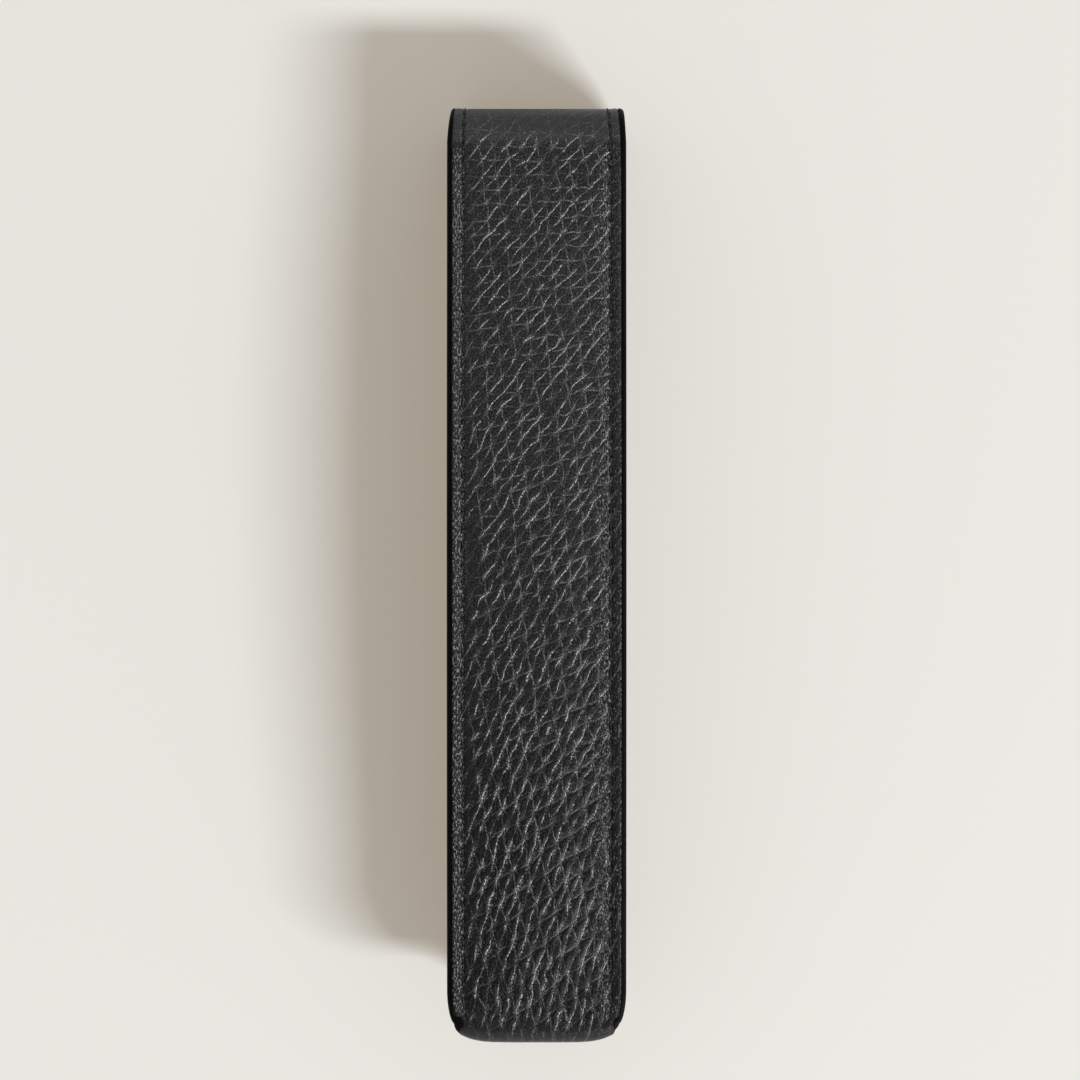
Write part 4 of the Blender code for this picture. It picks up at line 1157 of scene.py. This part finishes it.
def thread_finish(finish):
    """Bonded polyester thread: black plies twisted together, with a painted dull shine along each ply and
    painted shade between them, and painted glints in specks."""
    material, tree, shader = new_finish("bonded_polyester_thread")
    along = add(tree, "ShaderNodeAttribute", {}, attribute_name="ply_along").outputs["Fac"]
    around = add(tree, "ShaderNodeAttribute", {}, attribute_name="ply_around").outputs["Fac"]
    turns = add(tree, "ShaderNodeMath", {0: along, 1: 4.0, 2: around}, operation="MULTIPLY_ADD")
    angle = add(tree, "ShaderNodeMath", {0: turns, 1: 6 * math.pi}, operation="MULTIPLY")
    ply = add(tree, "ShaderNodeMath", {0: angle}, operation="SINE")
    bump = add(tree, "ShaderNodeBump", {"Height": ply, "Distance": 0.03 * MM, "Strength": 1.0})
    place = add(tree, "ShaderNodeTexCoord", {}).outputs["Object"]
    glint_noise = add(tree, "ShaderNodeTexNoise", {"Vector": place, "Scale": 1 / (0.35 * MM), "Detail": 1.0})
    glint_specks = add(tree, "ShaderNodeMapRange", {"Value": glint_noise, "From Min": 0.55, "From Max": 0.68,
                                             "To Min": 1.0, "To Max": 22.0})
    # Painted shine and shade along the plies, and painted glints in specks
    light = add(tree, "ShaderNodeMapRange", {"Value": ply, "From Min": -1.0, "To Min": 0.5, "To Max": 1.6})
    shade = add(tree, "ShaderNodeMath", {0: light, 1: glint_specks}, operation="MULTIPLY")
    tint = add(tree, "ShaderNodeVectorMath", {0: tuple(finish.thread), "Scale": shade}, operation="SCALE")
    fill(tree, shader, {"Base Color": tint, "Normal": bump, "Roughness": 0.5})
    return material


def lining_finish(finish):
    """Brushed microfibre: a deep black nap of short fibres that lie in patches, with a faint sheen."""
    material, tree, shader = new_finish("brushed_microfibre")
    place = add(tree, "ShaderNodeTexCoord", {}).outputs["Object"]
    fibres = add(tree, "ShaderNodeTexNoise", {"Vector": place, "Scale": 1 / (0.3 * MM), "Detail": 4.0,
                                              "Roughness": 0.7})
    nap = add(tree, "ShaderNodeTexNoise", {"Vector": place, "Scale": 1 / (6 * MM), "Detail": 2.0})
    bump = add(tree, "ShaderNodeBump", {"Height": fibres, "Distance": 0.12 * MM, "Strength": 1.0})
    light = add(tree, "ShaderNodeMapRange", {"Value": nap, "From Min": 0.3, "From Max": 0.7,
                                             "To Min": 0.75, "To Max": 1.3})
    tint = add(tree, "ShaderNodeVectorMath", {0: tuple(finish.lining), "Scale": light}, operation="SCALE")
    fill(tree, shader, {"Base Color": tint, "Normal": bump, "Roughness": 0.9, "Sheen Weight": 0.25,
                        "Sheen Roughness": 0.5})
    return material


def felt_finish(finish):
    """Grey fibre board and felt: pressed short fibres, matt and mottled."""
    material, tree, shader = new_finish("pressed_fibre")
    place = add(tree, "ShaderNodeTexCoord", {}).outputs["Object"]
    fibres = add(tree, "ShaderNodeTexNoise", {"Vector": place, "Scale": 1 / (0.6 * MM), "Detail": 5.0,
                                              "Roughness": 0.7})
    light = add(tree, "ShaderNodeMapRange", {"Value": fibres, "From Min": 0.3, "From Max": 0.7,
                                             "To Min": 0.7, "To Max": 1.15})
    tint = add(tree, "ShaderNodeVectorMath", {0: tuple(finish.board), "Scale": light}, operation="SCALE")
    bump = add(tree, "ShaderNodeBump", {"Height": fibres, "Distance": 0.1 * MM, "Strength": 1.0})
    fill(tree, shader, {"Base Color": tint, "Normal": bump, "Roughness": 0.92})
    return material


def nickel_finish(finish):
    """Nickel plate over steel: a warm grey metal with faint scuffs."""
    material, tree, shader = new_finish("nickel_plate")
    place = add(tree, "ShaderNodeTexCoord", {}).outputs["Object"]
    scuffs = add(tree, "ShaderNodeTexNoise", {"Vector": place, "Scale": 1 / (0.8 * MM), "Detail": 4.0})
    gloss = add(tree, "ShaderNodeMapRange", {"Value": scuffs, "To Min": 0.2, "To Max": 0.4})
    fill(tree, shader, {"Base Color": (*finish.nickel, 1), "Roughness": gloss, "Metallic": 1.0})
    return material


def paper_finish(finish):
    """Matt backdrop paper, with a barely seen tooth."""
    material, tree, shader = new_finish("backdrop_paper")
    place = add(tree, "ShaderNodeTexCoord", {}).outputs["Object"]
    tooth = add(tree, "ShaderNodeTexNoise", {"Vector": place, "Scale": 1 / (0.5 * MM), "Detail": 2.0})
    light = add(tree, "ShaderNodeMapRange", {"Value": tooth, "To Min": 0.985, "To Max": 1.015})
    seen = add(tree, "ShaderNodeLightPath", {}).outputs["Is Camera Ray"]
    cast = add(tree, "ShaderNodeMix", {
        "Factor": seen, "A": (*finish.floor, 1), "B": (*finish.floor_lit, 1),
    }, data_type="RGBA")
    tint = add(tree, "ShaderNodeVectorMath", {0: cast, "Scale": light}, operation="SCALE")
    fill(tree, shader, {"Base Color": tint, "Roughness": 0.95, "Specular IOR Level": 0.0})
    # The paper's painted warm glow, for the camera alone, lightens its shadow
    glow = add(tree, "ShaderNodeEmission", {"Color": (*finish.glow, 1), "Strength": 1.0})
    part = add(tree, "ShaderNodeMath", {0: seen, 1: FLOOR_GLOW}, operation="MULTIPLY")
    both = add(tree, "ShaderNodeMixShader", {0: part, 1: shader, 2: glow})
    fill(tree, tree.nodes["Material Output"], {"Surface": both})
    return material


def finish_of(name, make, *parts):
    """A material that several operators share, made at its first use."""
    return bpy.data.materials.get(name) or make(*parts)


# Painted edges

BEAD_POINTS = 15
BEAD_SQUARE = 0.75
PAINT_ROUND = 0.8 * MM


def bead_ring(edge, out, up, width, bottom, lap, crest, over=0.0):
    """A ring of paint at one place of an edge, from its crest down to its bottom: against the leather inside
    and rounded outside. It laps over the leather's rounded edge by a share of the usual lap, and by over
    more."""
    start = -PAINT_LAP * lap - over
    shoulder = min(PAINT_ROUND, (bottom - crest) / 2)
    ring = []
    for angle in np.linspace(math.pi / 2, -math.pi / 2, BEAD_POINTS):
        swell = max(0.0, math.cos(angle)) ** BEAD_SQUARE
        tall = abs(math.sin(angle)) ** BEAD_SQUARE
        if angle >= 0:
            away, depth = between(start, width, swell), crest + shoulder * (1 - tall)
        else:
            away, depth = width * swell, bottom - shoulder * (1 - tall)
        ring.append(edge + out * away - up * depth)
    ring.append(edge - up * between(crest + EDGE_DROP * lap, bottom, 0.1))
    return ring


def lofted(name, runs, material):
    """Closed bodies through rings of points, with flat ends."""
    points = []
    faces = []
    for rings in runs:
        first = len(points)
        count = len(rings[0])
        points += [p for ring in rings for p in ring]
        last = len(points) - count
        faces.append([first + i for i in range(count)][::-1])
        faces.append([last + i for i in range(count)])
        for r in range(len(rings) - 1):
            a = first + r * count
            for i in range(count):
                j = (i + 1) % count
                faces.append([a + i, a + j, a + count + j, a + count + i])
    mesh = plain_mesh(name, points, faces, material)
    mesh.set_sharp_from_angle(angle=math.radians(60))
    return mesh


def facing_out(mesh):
    """Turns a closed mesh's faces outwards."""
    work = bmesh.new()
    work.from_mesh(mesh)
    bmesh.ops.recalc_face_normals(work, faces=work.faces)
    work.to_mesh(mesh)
    work.free()
    return mesh


# The paint's gap to the leather, its usual lap and height over it, how far it stays above the stack's
# underside and its film; then its width over the fold, its rise and its lap by side, as shares
EDGE_GAP = 0.02 * MM
PAINT_LAP = 0.12 * MM
PAINT_PROUD = 0.02 * MM
PAINT_UNDER = 0.16 * MM
FILM = 0.12 * MM
FOLD_PAINT = {-1: 0.7, 1: 1.1}
PAINT_RISE = {-1: 1.0, 1: 0.5}
SIDE_LAP = {-1: 0.5, 1: 1.0}

# Steps of the paint along the sides, the closed end's corners, the fold, the flap and the mouth, and over
# which distance past the mouth it thins
SIDE_PAINT_STEP = 0.8 * MM
CORNER_PAINT_STEP = 0.2 * MM
FOLD_PAINT_STEP = 0.6 * MM
FLAP_PAINT_STEP = 1.5 * MM
MOUTH_PAINT_STEP = 0.5 * MM
PAINT_THINS = (0.4 * MM, 2.4 * MM)

# The thick end of the paint at each corner of the closed end
LUMP_OVER = {-1: 1.0 * MM, 1: 0.3 * MM}
LUMP_PROUD = 0.16 * MM
LUMP_REACH = 1.2 * MM
LUMP_POWER = 0.6
LUMP_END = {-1: math.radians(56), 1: math.radians(34)}


def side_paint_rings(side):
    """Down one side of the back and round the side of the turn at the closed end."""
    up = np.array((0.0, 0.0, 1.0))
    width = HALF_WIDTH - EDGE - EDGE_GAP
    stations = np.concatenate([spaced(FOLD_Y, SEAM_END_Y, SIDE_PAINT_STEP)[:-1],
                               spaced(SEAM_END_Y, FOOT_TURN_Y, CORNER_PAINT_STEP)])
    x, y = drawn_in(EDGE, stations)
    path = laid(side * (x + EDGE_GAP), y, margin_top(stations))
    ahead = np.gradient(path, axis=0)
    rings = []
    for edge, step, flat_y in zip(path, ahead, stations):
        out = np.cross(up, step) * side
        out = out / np.linalg.norm(out)
        low = margin_top(flat_y) - flange_level(flat_y)
        low = between(low, FRONT_WALL, ease(flat_y - MOUTH_Y, *PAINT_THINS))
        lump = ease(-flat_y, -FOOT_TURN_Y - LUMP_REACH, -FOOT_TURN_Y)
        lap = ease(flat_y, FOOT_TURN_Y, SEAM_END_Y)
        proud = LUMP_PROUD * lump + (MARGIN_RISE * PAINT_RISE[side] * rise_share(flat_y) + PAINT_PROUD) * lap
        rings.append(bead_ring(edge, out, up, width, low - PAINT_UNDER, lap * SIDE_LAP[side], -proud,
                               LUMP_OVER[side] * lump))
    out = np.array((side, 0.0, 0.0))
    middle = margin_top(FOOT_TURN_Y) - FOOT_RADIUS
    for angle in np.linspace(0, math.pi / 2, 13)[1:-1]:
        tall = FOOT_RADIUS * math.cos(angle)
        edge = np.array((path[-1][0] * tip_share(angle), path[-1][1] - FOOT_RADIUS * math.sin(angle),
                         middle + tall))
        left = math.cos(min(1, angle / LUMP_END[side]) * math.pi / 2) ** LUMP_POWER
        wide = max(FILM, width * left)
        rings.append(bead_ring(edge, out, up, wide, 2 * tall, 0.0, -LUMP_PROUD * left,
                               LUMP_OVER[side] * left))
    return rings


def fold_paint_rings(number, side):
    """Along one side of one of the fold's pieces."""
    t = fold_stations(number, FOLD_PAINT_STEP)
    grid = fold_rows(np.array([-EDGE, 0.0, EDGE]), t)
    normals = outward(grid)[:, 1]
    out = np.array((side, 0.0, 0.0))
    edges = grid[:, 1 + side] + out * EDGE_GAP
    thin = ease(t, 0, QUARTER_TURN) * (1 - ease(t, FOLD_LENGTH - QUARTER_TURN, FOLD_LENGTH))
    widths = (HALF_WIDTH - EDGE - EDGE_GAP) * (1 - (1 - FOLD_PAINT[side]) * thin)
    low = FRONT_WALL - PAINT_UNDER
    crests = -(MARGIN_RISE * fold_rise(t) + PAINT_PROUD)
    return [bead_ring(e, out, n, w, low, 1.0, c) for e, n, w, c in zip(edges, normals, widths, crests)]


def flap_paint_rings():
    """Round the flap, from one end of the fold to the other."""
    turn = np.linspace(0, math.pi / 2, 14)
    corner_x = FLAP_EDGE - FLAP_TIP_RADIUS
    corner_y = FLAP_TIP_Y + FLAP_TIP_RADIUS
    half = [((FLAP_EDGE, y), (1.0, 0.0)) for y in spaced(FOLD_Y, corner_y, FLAP_PAINT_STEP)[:-1]]
    for angle in turn:
        away = np.array((math.cos(angle), -math.sin(angle)))
        half.append((np.array((corner_x, corner_y)) + FLAP_TIP_RADIUS * away, away))
    half += [((x, FLAP_TIP_Y), (0.0, -1.0)) for x in spaced(corner_x, 0, FLAP_PAINT_STEP)[1:-1]]
    whole = half + [((-spot[0], spot[1]), (-away[0], away[1])) for spot, away in reversed(half)]
    up = np.array((0.0, 0.0, -1.0))
    rings = []
    for spot, away in whole:
        out = np.array((*away, 0.0))
        edge = np.array((*spot, 0.0)) + out * EDGE_GAP
        thick = between(FRONT_WALL, FLAP_STACK, float(ease(FOLD_Y - spot[1], 0, FLAP_SETTLE)))
        rings.append(bead_ring(edge, out, up, PAINT + GLUE - EDGE_GAP, thick - PAINT_UNDER, 1.0,
                               -PAINT_PROUD))
    return rings


def mouth_paint_rings():
    """Over the ends of the front leather and its lining, along the pocket's mouth."""
    u = spaced(-EDGE, EDGE, MOUTH_PAINT_STEP)
    grid = front_rows(u, MOUTH_Y + SLOPE_STEPS)
    normals = outward(grid)[1]
    ahead = np.array((0.0, 1.0, 0.0))
    edges = grid[1] + ahead * EDGE_GAP
    width = PAINT + GLUE - EDGE_GAP
    low = FRONT_WALL - PAINT_UNDER
    return [bead_ring(e, ahead, n, width, low, 0.0, PAINT_UNDER) for e, n in zip(edges, normals)]


# Operators

class PieceOperator:
    """What the operators share: the settings and the usual options."""

    bl_options = {"REGISTER", "UNDO"}

    def finish(self, context):
        return context.scene.pen_case_finish

    def size(self, context):
        return context.scene.pen_case_size


class PENCASE_OT_leather(PieceOperator, bpy.types.Operator):
    """Build the outer leather: flap, fold, back, closed end and front"""

    bl_idname = "pen_case.leather"
    bl_label = "Outer leather"

    def execute(self, context):
        size = self.size(context)
        material = finish_of("tumbled_cowhide", leather_finish, self.finish(context), size)
        strip = Strip()
        holes = fold_seams(size.stitch_pitch)[1]
        for paths in seams_of_case().values():
            for points, normals in paths:
                spots, _ = walked(points, normals, size.stitch_pitch)
                holes += list(spots[1::2])
        strip.pierce(holes)
        points, normals = strip.grained(material, size)
        nodes = {"flap": "flap_leather", "back": "outer_strip", "foot": "outer_strip",
                 "front": "outer_strip", "fold_1": "fold_leather_1", "fold_2": "fold_leather_2",
                 "fold_3": "fold_leather_3", "fold_4": "flap_leather"}
        for name, (first, last) in strip.rows.items():
            rows = slice(first, last + 1)
            extra = [("strip", strip.strip_places()[rows]), ("grain", strip.grain[rows]),
                     ("crumple", strip.crumple_and_highlight()[rows]), ("stretch", strip.stretched()[rows])]
            mesh = sheet_mesh(f"{name}_grain_leather", points[rows], strip.flesh[rows], material,
                              normals[rows], extra=extra)
            piece = show(mesh.name, mesh)
            if name.startswith("fold"):
                bend(piece, int(name[-1]), [nodes[name]])
            else:
                settle(piece, "flap" if name == "flap" else "case", [nodes[name]])
        return {"FINISHED"}


class PENCASE_OT_linings(PieceOperator, bpy.types.Operator):
    """Build the linings of back, fold, flap and front, and the padding behind the back"""

    bl_idname = "pen_case.linings"
    bl_label = "Linings"

    def execute(self, context):
        material = finish_of("brushed_microfibre", lining_finish, self.finish(context))
        high = LEATHER + GLUE
        low = high + LINING
        u = spaced(-EDGE, EDGE, LINING_STEP)
        back_y = spaced(FOLD_Y, SEAM_END_Y, LINING_STEP)
        self.sheet("back_lining_sheet", back_rows(u, back_y, high, False), back_rows(u, back_y, low, False),
                   material, "case", "back_lining")
        for number in (1, 2, 3, 4):
            t = fold_stations(number, LINING_STEP / 2)
            mesh = sheet_mesh(f"fold_lining_sheet_{number}", fold_rows(u, t, high), fold_rows(u, t, low),
                              material, under_columns=len(u))
            node = f"fold_lining_{number}" if number < 4 else "flap_lining"
            bend(show(mesh.name, mesh), number, [node], high)
        flap_y = flap_stations(LINING_STEP)
        inner = FLAP_STACK - LINING
        settled = ease(FOLD_Y - flap_y, 0, FLAP_SETTLE)[:, None]
        face = flap_rows(u, flap_y, between(high, inner, settled))
        back = flap_rows(u, flap_y, between(low, FLAP_STACK, settled))
        self.sheet("flap_lining_sheet", face, back, material, "flap", "flap_lining")
        front_y = spaced(SEAM_END_Y, MOUTH_Y, LINING_STEP)
        u = spaced(-EDGE, EDGE, LINING_STEP / 2)
        self.sheet("front_lining_sheet", front_rows(u, front_y, high), front_rows(u, front_y, low),
                   material, "case", "front_lining")
        self.padding(context)
        return {"FINISHED"}

    def sheet(self, name, face, back, material, body, node):
        mesh = sheet_mesh(name, face, back, material, under_columns=face.shape[1])
        settle(show(name, mesh), body, [node])

    def padding(self, context):
        """A felt pad, rounded over, that lies between the back and its lining."""
        material = finish_of("pressed_fibre", felt_finish, self.finish(context))
        side = FLANGE_X - CROWN_ROLL / 2
        y = spaced(FOLD_Y, FOOT_TURN_Y, LINING_STEP)
        y = y[crown(y) >= CROWN * PAD_CROWN]
        u = spaced(-side, side, LINING_STEP)
        mesh = sheet_mesh("back_padding_sheet", back_rows(u, y, LEATHER + GLUE),
                          back_rows(u, y, LEATHER, False), material, under_columns=len(u))
        pad = show(mesh.name, mesh)
        settle(pad, "case", ["back_padding"])


class PENCASE_OT_edge_paint(PieceOperator, bpy.types.Operator):
    """Paint the raw edges of sides, fold, flap and mouth"""

    bl_idname = "pen_case.edge_paint"
    bl_label = "Edge paint"

    def execute(self, context):
        material = finish_of("acrylic_edge_paint", paint_finish, self.finish(context))
        for word, side in (("left", -1), ("right", 1)):
            mesh = facing_out(lofted(f"{word}_paint_bead", [side_paint_rings(side)], material))
            settle(show(mesh.name, mesh), "case", [f"{word}_edge_paint"])
        for number in (1, 2, 3, 4):
            runs = [fold_paint_rings(number, side) for side in (-1, 1)]
            mesh = facing_out(lofted(f"fold_paint_bead_{number}", runs, material))
            bend(show(mesh.name, mesh), number, depth=FRONT_WALL / 2)
        for name, rings, body in (("flap", flap_paint_rings(), "flap"),
                                  ("mouth", mouth_paint_rings(), "case")):
            mesh = facing_out(lofted(f"{name}_paint_bead", [rings], material))
            settle(show(mesh.name, mesh), body, [f"{name}_edge_paint"])
        return {"FINISHED"}


class PENCASE_OT_stitches(PieceOperator, bpy.types.Operator):
    """Sew the seams of back, front, mouth, fold and flap"""

    bl_idname = "pen_case.stitches"
    bl_label = "Stitches"

    def execute(self, context):
        size = self.size(context)
        tree = stitch_tree()
        sink = size.thread * THREAD_SINK
        for name, paths in seams_of_case().items():
            made = [self.sewn(tree, size, *seam_line(*path, sink), size.stitch_pitch) for path in paths]
            piece = show(f"{name}_stitches", joined(f"{name}_stitches", made))
            settle(piece, "flap" if name == "flap" else "case", [f"{name}_thread"])
        for number, spots in fold_seams(size.stitch_pitch)[0].items():
            made = []
            for points, normals in spots:
                points, normals = seam_line(points, normals, sink)
                made.append(self.sewn(tree, size, points, normals, 1.0, FOLD_THREAD))
            piece = show(f"fold_stitches_{number}", joined(f"fold_stitches_{number}", made))
            bend(piece, number)
        return {"FINISHED"}

    def sewn(self, tree, size, points, normals, pitch, thin=1.0):
        material = finish_of("bonded_polyester_thread", thread_finish, self.finish(bpy.context))
        return grown(stitch_path(points, normals), tree, {
            "Pitch": pitch, "Length": size.stitch_length, "Thread": size.thread * thin,
            "Seed": size.seed, "Material": material,
        })


def joined(name, meshes):
    """One mesh out of several, with their named values kept."""
    work = bmesh.new()
    for mesh in meshes:
        work.from_mesh(mesh)
    whole = bpy.data.meshes.new(name)
    work.to_mesh(whole)
    work.free()
    whole.materials.append(meshes[0].materials[0])
    for mesh in meshes:
        bpy.data.meshes.remove(mesh)
    return whole


class PENCASE_OT_hidden_parts(PieceOperator, bpy.types.Operator):
    """Finish the board, magnet and keeper plate that lie between the leathers"""

    bl_idname = "pen_case.hidden_parts"
    bl_label = "Hidden parts"

    def execute(self, context):
        finish = self.finish(context)
        felt = finish_of("pressed_fibre", felt_finish, finish)
        nickel = finish_of("nickel_plate", nickel_finish, finish)
        for node, material in (("flap_board", felt), ("flap_magnet", nickel), ("keeper_plate", nickel)):
            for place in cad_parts[node].material_slots:
                place.material = material
        return {"FINISHED"}


class PENCASE_OT_stage(PieceOperator, bpy.types.Operator):
    """Set the floor, the lights and the camera"""

    bl_idname = "pen_case.stage"
    bl_label = "Stage"

    def execute(self, context):
        scene = context.scene
        scene.view_settings.view_transform = "Standard"
        self.floor(context)
        self.lights(scene)
        camera = bpy.data.objects.new("camera", bpy.data.cameras.new("camera"))
        scene.collection.objects.link(camera)
        camera.data.lens = CAMERA_LENS
        camera.data.sensor_width = CAMERA_SENSOR
        camera.location = CAMERA_PLACE
        scene.camera = camera
        return {"FINISHED"}

    def floor(self, context):
        material = finish_of("backdrop_paper", paper_finish, self.finish(context))
        corners = [(x * FLOOR_REACH, y * FLOOR_REACH, 0) for x, y in ((-1, -1), (1, -1), (1, 1), (-1, 1))]
        floor = show("floor", plain_mesh("floor", corners, [(0, 1, 2, 3)], material))

    def lights(self, scene):
        """A long window at the right, below the case's middle, and a room whose walls are lighter than its
        ceiling."""
        key = bpy.data.lights.new("window", "AREA")
        key.shape = "RECTANGLE"
        key.size = WINDOW_LONG
        key.size_y = WINDOW_HIGH
        key.energy = WINDOW_POWER
        lamp = bpy.data.objects.new("window", key)
        scene.collection.objects.link(lamp)
        level = math.cos(WINDOW_RISE)
        ray = Vector((level * math.cos(WINDOW_TURN), level * math.sin(WINDOW_TURN), math.sin(WINDOW_RISE)))
        lamp.location = ray * WINDOW_AWAY
        long = (Vector((1, 0, 0)) - ray * ray.x).normalized()
        lamp.rotation_euler = Matrix((long, ray.cross(long), ray)).transposed().to_euler()
        world = bpy.data.worlds.new("room")
        world.use_nodes = True
        tree = world.node_tree
        way = add(tree, "ShaderNodeTexCoord", {}).outputs["Generated"]
        parts = add(tree, "ShaderNodeSeparateXYZ", {0: way})
        dim = add(tree, "ShaderNodeMapRange", {"Value": parts.outputs["Z"], "To Min": ROOM_WALLS,
                                               "To Max": ROOM_CEILING})
        fill(tree, tree.nodes["Background"], {"Color": (1, 1, 1, 1), "Strength": dim})
        scene.world = world


class PENCASE_PT_panel(bpy.types.Panel):
    """Lists the case's pieces in the order they are made"""

    bl_idname = "PENCASE_PT_panel"
    bl_label = "Pen Case"
    bl_space_type = "VIEW_3D"
    bl_region_type = "UI"
    bl_category = "Pen Case"

    def draw(self, context):
        for kind in PIECES:
            self.layout.operator(kind.bl_idname)
        for group in (context.scene.pen_case_size, context.scene.pen_case_finish):
            box = self.layout.box()
            for key in type(group).__annotations__:
                box.prop(group, key)


PIECES = (PENCASE_OT_stage, PENCASE_OT_leather, PENCASE_OT_linings, PENCASE_OT_edge_paint,
          PENCASE_OT_stitches, PENCASE_OT_hidden_parts)
CLASSES = (PENCASE_PG_finish, PENCASE_PG_size, *PIECES, PENCASE_PT_panel)


def register():
    for kind in CLASSES:
        bpy.utils.register_class(kind)
    bpy.types.Scene.pen_case_finish = PointerProperty(type=PENCASE_PG_finish)
    bpy.types.Scene.pen_case_size = PointerProperty(type=PENCASE_PG_size)


def unregister():
    del bpy.types.Scene.pen_case_size
    del bpy.types.Scene.pen_case_finish
    for kind in reversed(CLASSES):
        bpy.utils.unregister_class(kind)


def main():
    register()
    for kind in PIECES:
        group, name = kind.bl_idname.split(".")
        getattr(getattr(bpy.ops, group), name)()


if __name__ == "__main__":
    main()
